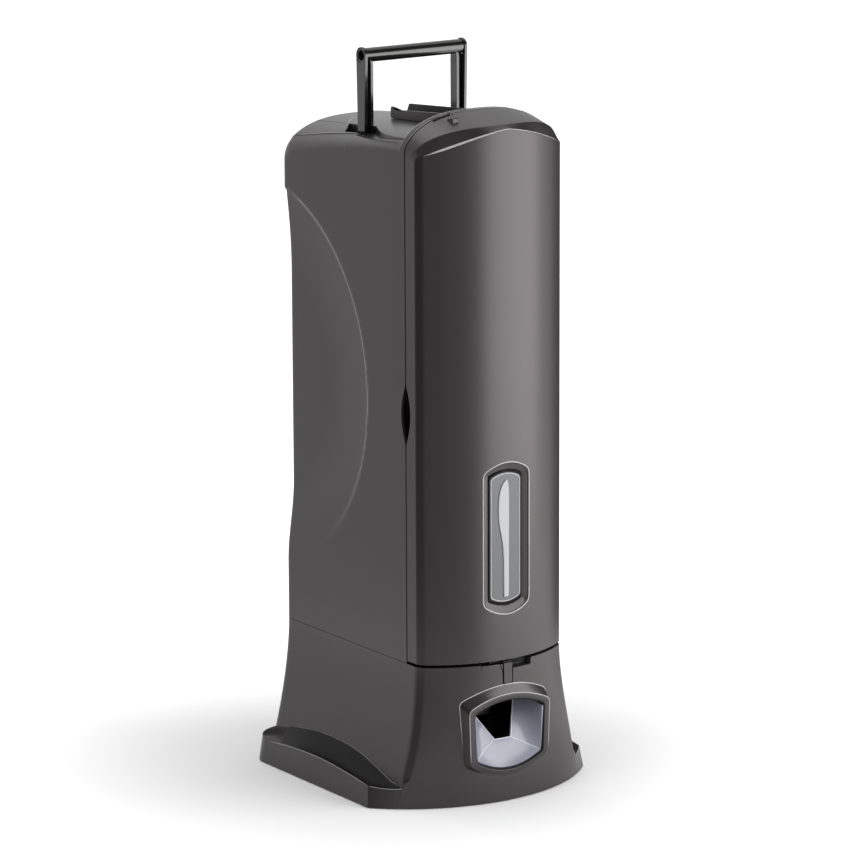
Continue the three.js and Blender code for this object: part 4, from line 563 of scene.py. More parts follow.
rimBackY = housingFrontY + housing["rimDepth"]


# Height of the deck in the middle, a straight fall, and at the sides, a power curve
def deckCrown(y):
    return housing["deckCrownZ"] - housing["deckFall"] * (y - column["seamY"])


def deckShoulder(y):
    share = np.clip((y - column["seamY"]) / (column["rearY"] - column["seamY"]), 0, 1)
    return housing["shoulderFrontZ"] - housing["shoulderFall"] * share ** housing["shoulderPower"]


# Where the deck breaks at y: inner edge of the step or pocket, slanting outer edge of the pocket, ridge line
def deckBreaks(y):
    (innerX, outerX), (frontY, bendY, rearY) = housing["pocketX"], housing["pocketY"]
    reach = np.abs((y - housing["stepCrestY"]) / (frontY - housing["stepCrestY"])) ** housing["stepPower"]
    crestX = housing["stepCrestX"]
    inner = np.where(y < frontY, crestX - (crestX - innerX) * np.minimum(reach, 1), innerX)
    outer = outerX - (outerX - innerX) * np.clip((y - bendY) / (rearY - bendY), 0, 1)
    ridge = housing["ridgeX"] + housing["ridgeSplay"] * (y - frontY)
    return inner, outer, ridge


# Height of the housing's top: the sloping deck, its ridge, the raised rim, the steps and the handle's pockets
def housingHeight(x, y, inset):
    deck = arch(x, deckCrown(y) - inset, deckShoulder(y) - inset, hw - inset)
    deck = deck - roundDrop(housing["rearRound"], rearLine(x, inset) - y)
    inner, outer, ridge = deckBreaks(y)
    frontY, size, soft = housing["pocketY"][0], np.abs(x), 0.6 if inset else 0.3
    inPocket = np.minimum(np.minimum(size - inner, outer - size), y - frontY) + inset
    inStep = np.minimum(size - inner, frontY - y) + inset
    climb = np.clip((frontY - y) / housing["stepLength"], 0, 1) ** 1.5
    stepZ = housing["stepRearZ"] + housing["stepRise"] * climb - inset
    top = deck + (np.minimum(deck, housing["pocketFloorZ"] - inset) - deck) * rise(inPocket, soft)
    top = np.minimum(top, deck + (np.minimum(deck, stepZ) - deck) * rise(inStep, soft))
    if inset:
        return top
    top = top - housing["ridgeDrop"] * rise(size - ridge, 0.25) * rise(y - frontY, 0.3) * (top > deck - 0.01)
    rim = arch(x, housing["rimCrownZ"], housing["rimShoulderZ"])
    rim = rim - roundDrop(housing["rimRound"], y - housingFrontY)
    rim = rim - housing["slotDepth"] * seamSlot(x) * rise(housingFrontY + housing["slotReach"] - y, 0.3)
    return top + (rim - top) * rise(rimBackY - y, 0.4)


# Scallop in each side: high up a crisp step and a quick dish, low down a smooth start and no step
def scallopSunk(y, z):
    dy, dz = housing["scallopY"] - y, z - housing["scallopZ"]
    radius, angle = np.hypot(dy, dz), np.arctan2(dz, dy)
    lifted = rise(angle + 0.725, 0.475)
    width = (housing["scallopRadius"] - housing["scallopInner"]) * housing["scallopFull"]
    inward = np.clip((housing["scallopRadius"] - radius) / width, 0, 1)
    quick, smooth = np.sin(inward * np.pi / 2), (1 - np.cos(inward * np.pi)) / 2
    step = housing["scallopStep"] * lifted
    sunk = step + (housing["scallopDepth"] - step) * (smooth + (quick - smooth) * lifted)
    return sunk * rise(housing["scallopRadius"] - radius - 1.0, 1.0)


# Two skins a wall apart, each a top with crowded rows and columns at its breaks and a wall down from its edge
def housingGrids():
    wall = column["wall"]
    cornerY = column["rearY"] - column["rearCorner"]
    frontY, bendY, rearY = housing["pocketY"]
    ys = spacing(rimBackY + 2, cornerY, 2.6, crowds=(frontY, bendY, rearY))
    front = spacing(housingFrontY, rimBackY + 2, 0.8, crowds=(rimBackY, housingFrontY + housing["slotReach"]),
                    reach=0.5)
    ys = np.unique(np.concatenate([front, ys]))
    grids, loops, bottoms = [], [], []
    for inset in (0.0, wall):
        half = hw - inset
        # each half row: even spans between the breaks, crowded over each break and closing up at the shoulder
        crowd = np.array([-0.8, -0.4, -0.22, -0.08, 0.08, 0.22, 0.4, 0.8])[None, :]
        inner, outer, ridge = (line[:, None] for line in deckBreaks(ys))
        inner = inner - inset
        outer = np.maximum(outer + inset, inner + 2.4)
        ridge = np.clip(np.maximum(ridge, outer + 2.2), None, half - 3.4)
        outer = np.minimum(outer, ridge - 1.9)
        inner = np.minimum(inner, outer - 1.9)
        between = np.linspace(0, 1, 9)[None, 1:-1]
        t = np.linspace(0, 1, 16)[None, 1:]
        right = np.concatenate([
            np.linspace(0, 1, 22)[None, :] * (inner - 0.9), inner + crowd,
            inner + 0.9 + between * (outer - inner - 1.8), outer + crowd,
            outer + 0.9 + between * (ridge - outer - 1.8), ridge + crowd,
            ridge + 0.9 + (half - ridge - 0.9) * np.sin(t * np.pi / 2)], axis=1)
        x = np.concatenate([-right[:, :0:-1], right], axis=1)
        y = np.repeat(ys[:, None], x.shape[1], axis=1)
        back = np.linspace(0, 1, 14)[1:]
        lastX = x[-1]
        reach = rearLine(lastX, inset) - cornerY + inset
        backY = cornerY - inset + reach * np.sin(back * np.pi / 2)[:, None]
        y[-1] = cornerY - inset
        x = np.concatenate([x, np.repeat(lastX[None, :], len(back), axis=0)])
        y = np.concatenate([y, backY])
        top = np.stack([x, y, housingHeight(x, y, inset)], axis=-1)
        rim = np.concatenate([top[:, 0], top[-1, 1:-1], top[::-1, -1]])
        zs = np.concatenate([spacing(housing["bottomZ"], 165, 9), spacing(170, 512, 2.6)])
        zs = np.maximum(zs, housing["bottomZ"] + (housing["flange"] if inset else 0))
        rimZ = rim[:, 2][:, None]
        z = np.concatenate([np.minimum(zs[None, :], rimZ - 3), rimZ], axis=1)
        wallX = np.repeat(rim[:, 0][:, None], z.shape[1], axis=1)
        wallY = np.repeat(rim[:, 1][:, None], z.shape[1], axis=1)
        sideHere = np.abs(wallX) > half - housing["scallopBand"]
        sunk = scallopSunk(wallY, z) * rise(np.abs(wallX) - (half - 8), 4)
        wallX = np.where(sideHere, wallX - np.sign(wallX) * sunk, wallX)
        # finger notches: the front edge of each side curves back
        share = np.clip(1 - (wallY - housingFrontY) / housing["notchLength"], 0, 1)
        wallY = np.where(np.abs(wallX) > half - 1, wallY + share * door["notchReach"] * lens(z), wallY)
        side = np.stack([wallX, wallY, z], axis=-1)
        grids += [dict(points=top), dict(points=side)]
        loops.append(np.concatenate([side[0, :], top[0, 1:-1], side[-1, ::-1]]))
        bottoms.append(side[:, 0])
    grids.append(np.stack(loops))
    # turned-in flange at the bottom
    ringX = np.clip(bottoms[0][:, 0], -hw + housing["ledge"], hw - housing["ledge"])
    ringY = np.minimum(bottoms[0][:, 1], column["rearY"] - housing["ledge"])
    low = np.stack([ringX, ringY, np.full_like(ringX, housing["bottomZ"])], axis=-1)
    high = low + (0, 0, housing["flange"])
    grids.append(np.stack([bottoms[0], low, high, bottoms[1]]))
    return grids


addPiece("housing_body", housingGrids(), "mouldedCharcoalAbs", "housing", ["rear_housing"], edge=0.4)


# Painted highlights: pale thin lines along the ridges and arcs of the deck, the rim's edges and the scallops'
# steps
def housingHighlightLines():
    grids = []
    half, marks = housing["lineHalf"], np.array(housing["deckArc"], dtype=float)
    for side in (-1, 1):
        y = np.linspace(19.0, 104.0, 60)
        x = deckBreaks(y)[2] - 0.15
        at = np.linspace(0, len(marks) - 1, 60)
        arcX, arcY = (np.interp(at, np.arange(len(marks)), marks[:, k]) for k in (0, 1))
        for x, y, out in ((x, y, (0.3 * side, 0, 0.95)), (arcX, arcY, (0, 0, 1))):
            path = np.stack([side * x, y, housingHeight(x, y, 0.0)], axis=-1)
            grids.append(beadGrid(path, out, half, housing["lineHeight"], closed=False,
                                  taper=thinEnds(60, 10)))
        angle = np.linspace(-0.75, 1.25, 90)
        step = np.stack([np.full(90, side * (hw - 0.05)),
                         housing["scallopY"] - housing["scallopRadius"] * np.cos(angle),
                         housing["scallopZ"] + housing["scallopRadius"] * np.sin(angle)], axis=-1)
        fade = np.clip((angle + 0.75) / 0.7, 0.02, 1) * thinEnds(90, 30)
        grids.append(beadGrid(step, (side, 0, 0), half, housing["edgeHeight"], closed=False, taper=fade))
    x = np.linspace(-71.0, 71.0, 160)
    top = arch(x, housing["rimCrownZ"], housing["rimShoulderZ"])
    for y, z in ((housingFrontY + 0.35, top - housing["slotDepth"] * seamSlot(x)), (rimBackY - 0.35, top)):
        rim = np.stack([x, np.full_like(x, y), z], axis=-1)
        grids.append(beadGrid(rim, (0, 0, 1), half, housing["edgeHeight"], closed=False,
                              taper=thinEnds(160, 20)))
    return grids


addPiece("housing_highlight_lines", housingHighlightLines(), "paintedHighlightAbs", "housing")
print("housing made")


base = {
    "bottomZ": 0.8, "topZ": 119.0, "flare": 21.45, "power": 1.69, "footApexY": -116.9, "frontTopZ": 21.0,
    "wingHalfWidth": 110.0, "wingFrontY": -69.0, "wingRearY": 95.0, "wingBuriedX": 75.9, "wingInnerX": 83.96,
    "wingEdge": (12.0, 24.8, 3.8, 11.0, 1.56), "wingRoot": (28.0, 35.2, 7.1, 14.5, 2.0), "dip": 5.0,
    "sideDraft": 2.5, "frontDraft": 6.0, "coveRearY": 106.0, "coveSlant": 34.0, "coveMargin": 0.5,
    "notchHalfWidth": 25.0, "notchDepth": 5.6, "slotHalfWidth": 5.2, "slotLowZ": 97.0,
    "ledge": 10.0, "ledgeDepth": 4.5, "tuck": 0.15,
    # the wing's top: lengths of its two curves, where its dish starts, how long it is and how faint at first,
    # and the power of its slope towards the root at the rear, with what the front adds to it
    "wingLengths": (70.0, 110.0), "dishRearY": 90.0, "dishLength": 120.0, "dishFaint": 0.12,
    "rootPower": (0.35, 1.85),
}
window = {
    "halfTop": 35.5, "halfLow": 34.0, "cornerHighZ": 79.5, "cornerLowZ": 38.0, "topZ": 88.0, "bottomZ": 27.5,
    "faceY": -118.0, "faceMargin": 5.0, "rootY": -101.0, "cornerSoft": 4.0,
    "outerHalfTop": 43.5, "outerHalfLow": 41.0, "outerCornerHighZ": 88.5, "outerTopZ": 100.5,
    "outerCornerLowZ": 34.0, "outerBottomZ": 21.5, "outerSoft": 5.0,
    # how much wider than the opening: the hole at its back, and the two skins of the painted-shade sheet at
    # the back and front
    "holeBack": 2.5, "shadeSheetInner": (1.9, -1.1), "shadeSheetOuter": (3.1, 0.5), "bezelBack": 4.0,
}
footRadius = ((base["wingHalfWidth"] ** 2 + (base["wingFrontY"] - base["footApexY"]) ** 2)
              / (2 * (base["wingFrontY"] - base["footApexY"])))


# Circle that the whole foot shares at the front
def footArc(x):
    return base["footApexY"] + footRadius - np.sqrt(footRadius ** 2 - np.square(x))


# 0 at the skirt's top and 1 at the given height, by a power of the way down
def flareShare(z, endZ):
    return np.clip((base["topZ"] - z) / (base["topZ"] - endZ), 0, 1) ** base["power"]


# Front line of the skirt at a height: the column's bow turns into the foot's arc on the way down
def skirtShape(z):
    share = flareShare(z, base["frontTopZ"])
    half = hw + base["flare"] * flareShare(z, 0)
    return dict(halfWidth=half, apexY=column["apexY"] + share * (base["footApexY"] - column["apexY"]),
                cornerY=column["cornerY"] + share * (footArc(half) - column["cornerY"]),
                cut=np.clip((z - base["frontTopZ"]) / 4, 0.001, 1))


# How far forward the skirt lies at a place across and up
def skirtFront(x, z, inset=0.0):
    return frontLine(x, inset, **skirtShape(z))


# Closed ring of the skirt at the heights z, one for each of its points, moved in by the inset. Its places run
# from the front's middle to either side: 0-1 front, 1-2 cut corner, 2-3 side, 3-4 rear corner, 4-5 back
def skirtRing(places, z, inset):
    kind, t = places
    shape = skirtShape(z)
    half, corner = shape["halfWidth"] - inset, shape["cut"] * column["cornerCut"][0]
    rear, rearRound = column["rearY"] - inset, column["rearCorner"]
    front, turn, side, back, line = (kind == k for k in range(5))
    sign, size = np.sign(t) + (t == 0), np.abs(t)
    frontX = np.where(front, t * (half - corner), sign * (half - corner + corner * np.clip(size - 1, 0, 1)))
    cornerEnd = frontLine(half, inset, **shape)
    angle = (size - 3) * np.pi / 2
    x = np.select([front | turn, side, back, line],
                  [frontX, sign * half, sign * (half - rearRound + rearRound * np.cos(angle)),
                   sign * (5 - size) * (half - rearRound)])
    y = np.select([front | turn, side, back, line],
                  [frontLine(frontX, inset, **shape), cornerEnd + (size - 2) * (rear - rearRound - cornerEnd),
                   rear - rearRound + rearRound * np.sin(angle), np.full_like(t, rear)])
    return np.stack([x, y, z * np.ones_like(x)], axis=-1)


# Kind and place of each point of the ring, crowded over the edges of the notch and of the key slot
def skirtPlaces():
    straight = hw - column["cornerCut"][0]
    marks = [base["notchHalfWidth"] / straight, base["slotHalfWidth"] / straight]
    front = spacing(-1, 1, 0.022, crowds=[-marks[0], -marks[1], marks[1], marks[0]], reach=0.006)
    counts = (4, 49, 9, 29)
    right = np.concatenate([np.linspace(k, k + 1, count + 1)[1:] for k, count in enumerate(counts, 1)])
    rightKind = np.repeat((1, 2, 3, 4), counts)
    left, leftKind = -right[::-1][1:], rightKind[::-1][1:]
    kinds = np.concatenate([np.zeros(len(front), int), rightKind, leftKind])
    return kinds, np.concatenate([front, right, left])


# The top edge drops for the notch and again for the key slot
def skirtTop(x, y):
    frontHere = y < -60
    notch = rise(base["notchHalfWidth"] - np.abs(x), 0.3) * base["notchDepth"]
    slotDepth = base["topZ"] - base["notchDepth"] - base["slotLowZ"]
    slot = rise(base["slotHalfWidth"] - np.abs(x), 0.3) * slotDepth
    return base["topZ"] - np.where(frontHere, notch + slot, 0)


# Window outline: a parabola above and one below, joined by straight sides, its corners softened
def loopPoints(halfTop, halfLow, cornerHigh, top, cornerLow, bottom, soft):
    t = np.linspace(-1, 1, 41)
    low = np.stack([t * halfLow, bottom + (cornerLow - bottom) * t ** 2], axis=-1)
    high = np.stack([-t * halfTop, top + (cornerHigh - top) * t ** 2], axis=-1)
    return softened(np.concatenate([low, high]), soft, 220)


# The opening's outline, grown by the margin
def windowLoop(margin):
    w = window
    return loopPoints(w["halfTop"] + margin, w["halfLow"] + margin, w["cornerHighZ"] + margin * 0.75,
                      w["topZ"] + margin, w["cornerLowZ"] - margin * 0.5, w["bottomZ"] - margin,
                      w["cornerSoft"] + margin * 0.3)


# The bezel's outer edge, where it meets the skirt
def bezelEdge():
    w = window
    outer = loopPoints(w["outerHalfTop"], w["outerHalfLow"], w["outerCornerHighZ"], w["outerTopZ"],
                       w["outerCornerLowZ"], w["outerBottomZ"], w["outerSoft"])
    return atDepth(outer, skirtFront(outer[:, 0], outer[:, 1]))


# True where a point lies inside a closed outline, by counting the outline's crossings to its right
def insideLoop(points, loop):
    x, z = points[:, 0][:, None], points[:, 2][:, None]
    a, b = loop, np.roll(loop, -1, axis=0)
    spans = (a[None, :, 1] > z) != (b[None, :, 1] > z)
    slope = (b[:, 0] - a[:, 0]) / np.where(b[:, 1] == a[:, 1], 1e-9, b[:, 1] - a[:, 1])
    crossing = x < slope[None, :] * (z - a[None, :, 1]) + a[None, :, 0]
    return (spans & crossing).sum(axis=1) % 2 == 1


# The skirt's outer skin, its ledge and inner skin, and its foot; both skins are open where the window is
def skirtGrids():
    places = skirtPlaces()
    reference = skirtRing(places, np.full(len(places[1]), base["topZ"]), 0.0)
    topZ = skirtTop(reference[:, 0], reference[:, 1])
    levels = np.concatenate([[0, 0.006], np.linspace(0.02, 0.98, 64), [0.992, 1.0]])
    rows = []
    for level in levels:
        z = base["bottomZ"] + level * (topZ - base["bottomZ"])
        ring = skirtRing(places, z, 0.0)
        # low down at the corners the skirt lies a hair inside the wings, which carry the same arc there
        atCorner = rise(np.abs(ring[:, 0]) - 79, 2) * (ring[:, 1] < -75)
        ring[:, 1] += base["tuck"] * atCorner * rise(base["frontTopZ"] - z, 1)
        rows.append(ring)
    wall, depth = column["wall"], base["ledgeDepth"]
    ledge = [skirtRing(places, topZ - drop, inset)
             for inset, drop in ((base["ledge"], 0.0), (base["ledge"], depth), (wall, depth))]
    inner = [skirtRing(places, base["bottomZ"] + level * (topZ - depth - base["bottomZ"]), wall)
             for level in np.linspace(1, 0, 30)[1:]]
    hole = windowLoop(window["holeBack"])
    skins = [dict(points=np.stack(part), wrapColumns=True,
                  drop=lambda middle: insideLoop(middle, hole) & (middle[:, 1] < -80))
             for part in (rows, [rows[-1]] + ledge + inner)]
    return skins + [dict(points=np.stack([inner[-1], rows[0]]), wrapColumns=True)]


# Line along a wing: a parabola behind its highest place and a power curve in front of it
def wingLine(y, line):
    crestY, crestZ, rearFall, frontFall, power = line
    away, (rearLength, frontLength) = y - crestY, base["wingLengths"]
    behind = rearFall * (away / rearLength) ** 2
    ahead = frontFall * (np.maximum(-away, 0) / frontLength) ** power
    return crestZ - np.where(away > 0, behind, ahead)


# The wing's top swells at the rear end and sinks to a dish towards the front
def wingTop(x, y):
    edgeX = base["wingHalfWidth"] - base["sideDraft"]
    across = np.clip((edgeX - x) / (edgeX - base["wingInnerX"]), 0, 1)
    forward = np.clip((base["dishRearY"] - y) / base["dishLength"], 0, 1)
    outer, root = wingLine(y, base["wingEdge"]), wingLine(y, base["wingRoot"])
    nearFront = footArc(np.minimum(x, edgeX)) + base["frontDraft"] * (1 - across)
    faint, (rearPower, addedPower) = base["dishFaint"], base["rootPower"]
    dish = base["dip"] * forward * (faint + (1 - faint) * rise(y - nearFront - 12, 12))
    slope = across ** (rearPower + addedPower * forward)
    return outer + (root - outer) * slope - dish * np.sin(np.pi * across)


# Rear end of a wing in plan: a quarter ellipse from the skirt's side to the wing's outer edge
def footBack(x, inset):
    cornerX = hw + base["flare"] * float(flareShare(base["wingEdge"][1], 0))
    share = np.clip((x - cornerX) / (base["wingHalfWidth"] - inset - cornerX), 0, 1)
    return column["rearY"] - inset - (column["rearY"] - base["wingRearY"]) * (1 - np.sqrt(1 - share ** 2))


# Plan of a wing with walls that lean in towards the top, most of all at the front outer corner
def wingPlan(x, t, lean):
    outward = np.maximum(0, (x - base["wingInnerX"]) / (base["wingHalfWidth"] - base["wingInnerX"]))
    start = footArc(x) + lean * base["frontDraft"] * outward + base["tuck"] * (1 - rise(x - 78, 2))
    return start + t * (footBack(x, lean * base["sideDraft"]) - start)


# A wing as its top, its walls and its underside; the columns close up towards the outer edge
def wingGrids(side):
    closing = 0.82 + 0.18 * np.sin(np.linspace(0, 1, 12) * np.pi / 2)
    share = np.concatenate([np.linspace(0, 0.82, 34)[:-1], closing])
    t = np.linspace(0, 1, 90)
    plans = []
    for lean in (1.0, 0.0):
        outerX = base["wingHalfWidth"] - lean * base["sideDraft"]
        x = (base["wingBuriedX"] + share * (outerX - base["wingBuriedX"]))[:, None] * np.ones((1, len(t)))
        plans.append((x, wingPlan(x, t[None, :], lean)))
    top = np.stack([*plans[0], wingTop(*plans[0])], axis=-1) * (side, 1, 1)
    low = np.stack([*plans[1], np.full_like(plans[1][0], base["bottomZ"])], axis=-1) * (side, 1, 1)
    return [top, beltGrid(low, top, 5), low]


# Painted shade of the cove: a dark sheet over the wing's top, bounded behind by a line from the tip at the
# root to the outer edge
def coveShadeGrid(side):
    across = np.linspace(0, 1, 24)[:, None]
    t = np.linspace(0, 1, 70)[None, :]
    outerX = base["wingHalfWidth"] - base["sideDraft"] - base["coveMargin"]
    x = base["wingBuriedX"] + across * (outerX - base["wingBuriedX"]) + 0 * t
    rear = base["coveRearY"] - base["coveSlant"] * across ** 0.7
    front = wingPlan(x[:, :1], 0.0, 1.0) + base["coveMargin"]
    y = front + t * (rear - front)
    shadeSheet = np.stack([x, y, wingTop(x, y) + 0.12], axis=-1) * (side, 1, 1)
    under = shadeSheet - (0, 0, 1.0)
    return [shadeSheet, under, beltGrid(shadeSheet, under)]


# Painted highlights: pale thin lines along a wing's outer edge, round its front corner, and up its root
def wingHighlightLines(side):
    outerX = base["wingHalfWidth"] - base["sideDraft"]
    y = np.linspace(base["wingRearY"] - 6, float(wingPlan(np.array(outerX), 0.0, 1.0)), 60)
    edge = np.stack([np.full_like(y, outerX), y, wingTop(np.full_like(y, outerX), y)], axis=-1)
    x = np.linspace(outerX, 86.0, 30)
    frontY = wingPlan(x, 0.0, 1.0)
    ledge = np.stack([x, frontY, wingTop(x, frontY)], axis=-1)
    y = np.linspace(column["rearY"] - 9, -92.0, 90)
    # where the skirt's flare and the wing's top are at the same height: repeated until it settles
    z = np.full_like(y, 30.0)
    for _ in range(12):
        rootX = hw + base["flare"] * flareShare(z, 0)
        z = wingTop(rootX, y)
    root = np.stack([rootX, y, z], axis=-1)
    grids = []
    for line, out, size in ((edge, (0.7, 0, 0.7), 0.22), (ledge, (0, -0.7, 0.7), 0.2),
                            (root, (0.7, 0, 0.7), 0.16)):
        grids.append(beadGrid(line * (side, 1, 1), np.array(out) * (side, 1, 1), size, size, closed=False,
                              taper=thinEnds(len(line), 12)))
    return grids


# Frame of the window: from the opening's back edge out to the face, across it, and back down to the skirt
def bezelGrid():
    hole, edge = windowLoop(0.0), window["faceMargin"]
    face, root = window["faceY"], window["rootY"]

    # low down the face sinks into the skirt
    def onFace(margin, value):
        ring = atDepth(windowLoop(margin), value)
        sink = (1 - rise(ring[:, 2] - 30, 8)) * margin / edge
        ring[:, 1] += sink * (skirtFront(ring[:, 0], ring[:, 2]) - 0.1 - ring[:, 1])
        return ring
    rings = [atDepth(windowLoop(window["holeBack"]), root), atDepth(hole, face + 1.0),
             atDepth(hole, face + 0.45), onFace(0.16, face + 0.13), onFace(0.5, face),
             onFace(edge - 0.9, face), onFace(edge - 0.25, face + 0.12)]
    start, end = onFace(edge, face + 0.4), bezelEdge()
    rings += [start + (end - start) * k for k in np.linspace(0, 1, 9)]
    return ringLoft(rings + [end + (0, 1.6, 0), atDepth(windowLoop(window["bezelBack"]), root)])


addPiece("base_body", skirtGrids(), "mouldedCharcoalAbs", "housing", ["base_shell"], edge=0.4)
for side, hand in ((-1, "left"), (1, "right")):
    addPiece("base_wing_" + hand, wingGrids(side), "mouldedCharcoalAbs", "housing", edge=0.5)
    addPiece("base_cove_shade_" + hand, coveShadeGrid(side), "paintedShadeCoveAbs", "housing")
    addPiece("base_highlight_lines_" + hand, wingHighlightLines(side), "paintedHighlightAbs", "housing")


# Painted shade: a near-black sheet lining the opening, wider at its back so that the scoop can swing in it
def openingShadeGrid():
    frontY, rootY = window["faceY"] + 0.9, window["rootY"]
    (innerBack, innerFront), (outerBack, outerFront) = window["shadeSheetInner"], window["shadeSheetOuter"]
    return ringLoft([atDepth(windowLoop(margin), y) for margin, y in
                     ((innerBack, rootY), (innerFront, frontY), (outerFront, frontY), (outerBack, rootY))])


# Painted highlights: pale thin lines along the bezel's outer edge and round its face, both fading out low
# down
def bezelHighlightLines():
    edge = bezelEdge()
    face = atDepth(windowLoop(window["faceMargin"] - 0.2), window["faceY"] + 0.35)
    return [beadGrid(edge, (0, -1, 0), 0.5, 0.35, taper=0.02 + 0.98 * rise(edge[:, 2] - 58, 14)),
            beadGrid(face, (0, -1, 0), 0.4, 0.3, taper=0.02 + 0.98 * rise(face[:, 2] - 40, 8))]


addPiece("window_bezel", [bezelGrid()], "mouldedCharcoalAbs", "housing")
addPiece("window_shade_sheet", [openingShadeGrid()], "blackPartsAndPaintedShade", "housing")
addPiece("window_highlight_lines", bezelHighlightLines(), "paintedHighlightAbs", "housing")


notch = {
    # outlines across and up: the key's wedge with a narrow bar that hangs in the slot, and a hook beside it
    "wedge": [(-4.5, 118.6), (4.1, 118.6), (4.1, 101.8), (-4.1, 100.4), (-4.1, 112.6)],
    "hook": [(-7.4, 118.2), (-5.4, 118.2), (-5.4, 112.0), (-6.0, 113.9)],
    "keyOut": 0.6, "keyThickness": 1.2, "hookBack": 0.2,
    # from X, to X, nearest and farthest behind the front line, drop below the notch's floor and below the top
    "shadeSheet": (7.0, base["notchHalfWidth"] + 2, 6.0, 6.8, 3.0, -0.4),
    "guard": (0.4 - base["notchHalfWidth"], -base["slotHalfWidth"] - 1.6, 0.1, 0.7, 0.5, 0.6),
}


# Upright strip that follows the column's front line
def stripGrid(strip):
    startX, endX, nearBack, farBack, lowDrop, highDrop = strip
    x = np.linspace(startX, endX, 12)
    near, far = (np.column_stack([x, frontLine(x) + back]) for back in (nearBack, farBack))
    return prismGrids(np.concatenate([near, far[::-1]]), base["topZ"] - base["notchDepth"] - lowDrop,
                      base["topZ"] - highDrop, "z")


# the wedge rides on the door; the hook, the near-black sheet of painted shade and the guard that closes the
# notch's left half stay
keyY = float(frontLine(np.array(0.0))) - notch["keyOut"]
hookY = keyY + notch["hookBack"]
addPiece("key_face", [prismGrids(notch["wedge"], keyY, keyY + notch["keyThickness"], "y")],
         "mouldedCharcoalAbs", "door", edge=0.35)
addPiece("notch_hook", [prismGrids(notch["hook"], hookY, hookY + notch["keyThickness"], "y")],
         "mouldedCharcoalAbs", "housing", edge=0.25)
# painted shade: a near-black strip behind the notch, where its inside lies in shade
addPiece("notch_shade_sheet", [stripGrid(notch["shadeSheet"])], "blackPartsAndPaintedShade", "housing")
addPiece("notch_guard", [stripGrid(notch["guard"])], "mouldedCharcoalAbs", "housing", edge=0.3)
print("base made")


scoop = {
    "rimY": -117.0, "gap": 2.4, "wall": 1.8, "veeHalf": 7.8, "veeZ": 52.0, "veeY": -107.0, "backHalf": 26.0,
    "backY": -84.0, "backZ": 84.0, "bow": 2.4, "start": 0.36, "axleY": -92.0, "axleZ": 24.0,
    "cheek": (11.0, 14.5), "cheekFront": [(-111.6, 34.6), (-101.6, 51.8)],
    "noseY": -79.3, "noseZ": 58.0, "noseRadius": 3.0, "hub": 6.0, "shaft": (4.2, 11.2),
}


# Ruled surface from the rim in the window to the edge of the vee, bowed outwards between them
def scoopFace(t, s):
    k = scoop
    side = np.where(t < 0.5, -1.0, 1.0)
    way = np.where(t < 0.5, t, 1 - t)
    topHalf, lowHalf = window["halfTop"] - k["gap"], window["halfLow"] - k["gap"]
    topZ, cornerZ = window["cornerHighZ"] - k["gap"], window["cornerLowZ"] + k["gap"] / 2
    bottomZ = window["bottomZ"] + k["gap"]
    a = np.clip(way / k["start"], 0, 1)
    b = np.clip(1 - (way - k["start"]) / (0.5 - k["start"]), 0, 1)
    upper = way < k["start"]
    rimX = np.where(upper, topHalf + (lowHalf - topHalf) * a, b * lowHalf)
    rimZ = np.where(upper, topZ + (cornerZ - topZ) * a, bottomZ + (cornerZ - bottomZ) * b ** 2)
    veeX = np.where(upper, k["backHalf"] + (k["veeHalf"] - k["backHalf"]) * a, b * k["veeHalf"])
    veeY = np.where(upper, k["backY"] + (k["veeY"] - k["backY"]) * a, k["veeY"])
    veeZ = np.where(upper, k["backZ"] + (k["veeZ"] - k["backZ"]) * a, k["veeZ"])
    bow = k["bow"] * 4 * s * (1 - s)
    outward = np.where(upper, 0.8, 0.2 * rimX / lowHalf)
    x = side * (rimX + (veeX - rimX) * s + bow * outward)
    y = k["rimY"] + (veeY - k["rimY"]) * s + bow
    return np.stack([x, y, rimZ + (veeZ - rimZ) * s], axis=-1)


# The face and a back that lies a wall behind it, measured square to the face
def scoopGrids():
    start = scoop["start"]
    t = np.unique(np.concatenate([np.linspace(0, start, 28), np.linspace(start, 1 - start, 31),
                                  np.linspace(1 - start, 1, 28)]))
    face = scoopFace(*np.meshgrid(t, np.linspace(0, 1, 22), indexing="ij"))
    normal = np.cross(np.gradient(face, axis=0), np.gradient(face, axis=1))
    normal /= np.linalg.norm(normal, axis=-1, keepdims=True) + 1e-9
    normal *= np.sign(normal[..., 1:2])
    back = face + scoop["wall"] * normal
    return [face, back, beltGrid(face, back)]


# Points on a circle from one angle to another
def arcPoints(centre, radius, start, end, count):
    angle = np.linspace(start, end, count)
    return np.stack([centre[0] + radius * np.cos(angle), centre[1] + radius * np.sin(angle)], axis=-1)


# Upright plate behind the face, with a round nose at the top and a hub round the axle
def cheekGrid(side):
    k = scoop
    nose = arcPoints((k["noseY"], k["noseZ"]), k["noseRadius"], np.pi / 2, -np.pi / 2, 14)
    hub = arcPoints((k["axleY"], k["axleZ"]), k["hub"], 0, -np.pi, 18)
    outline = np.concatenate([k["cheekFront"], nose, hub])
    return prismGrids(outline, side * k["cheek"][0], side * k["cheek"][1], "x")


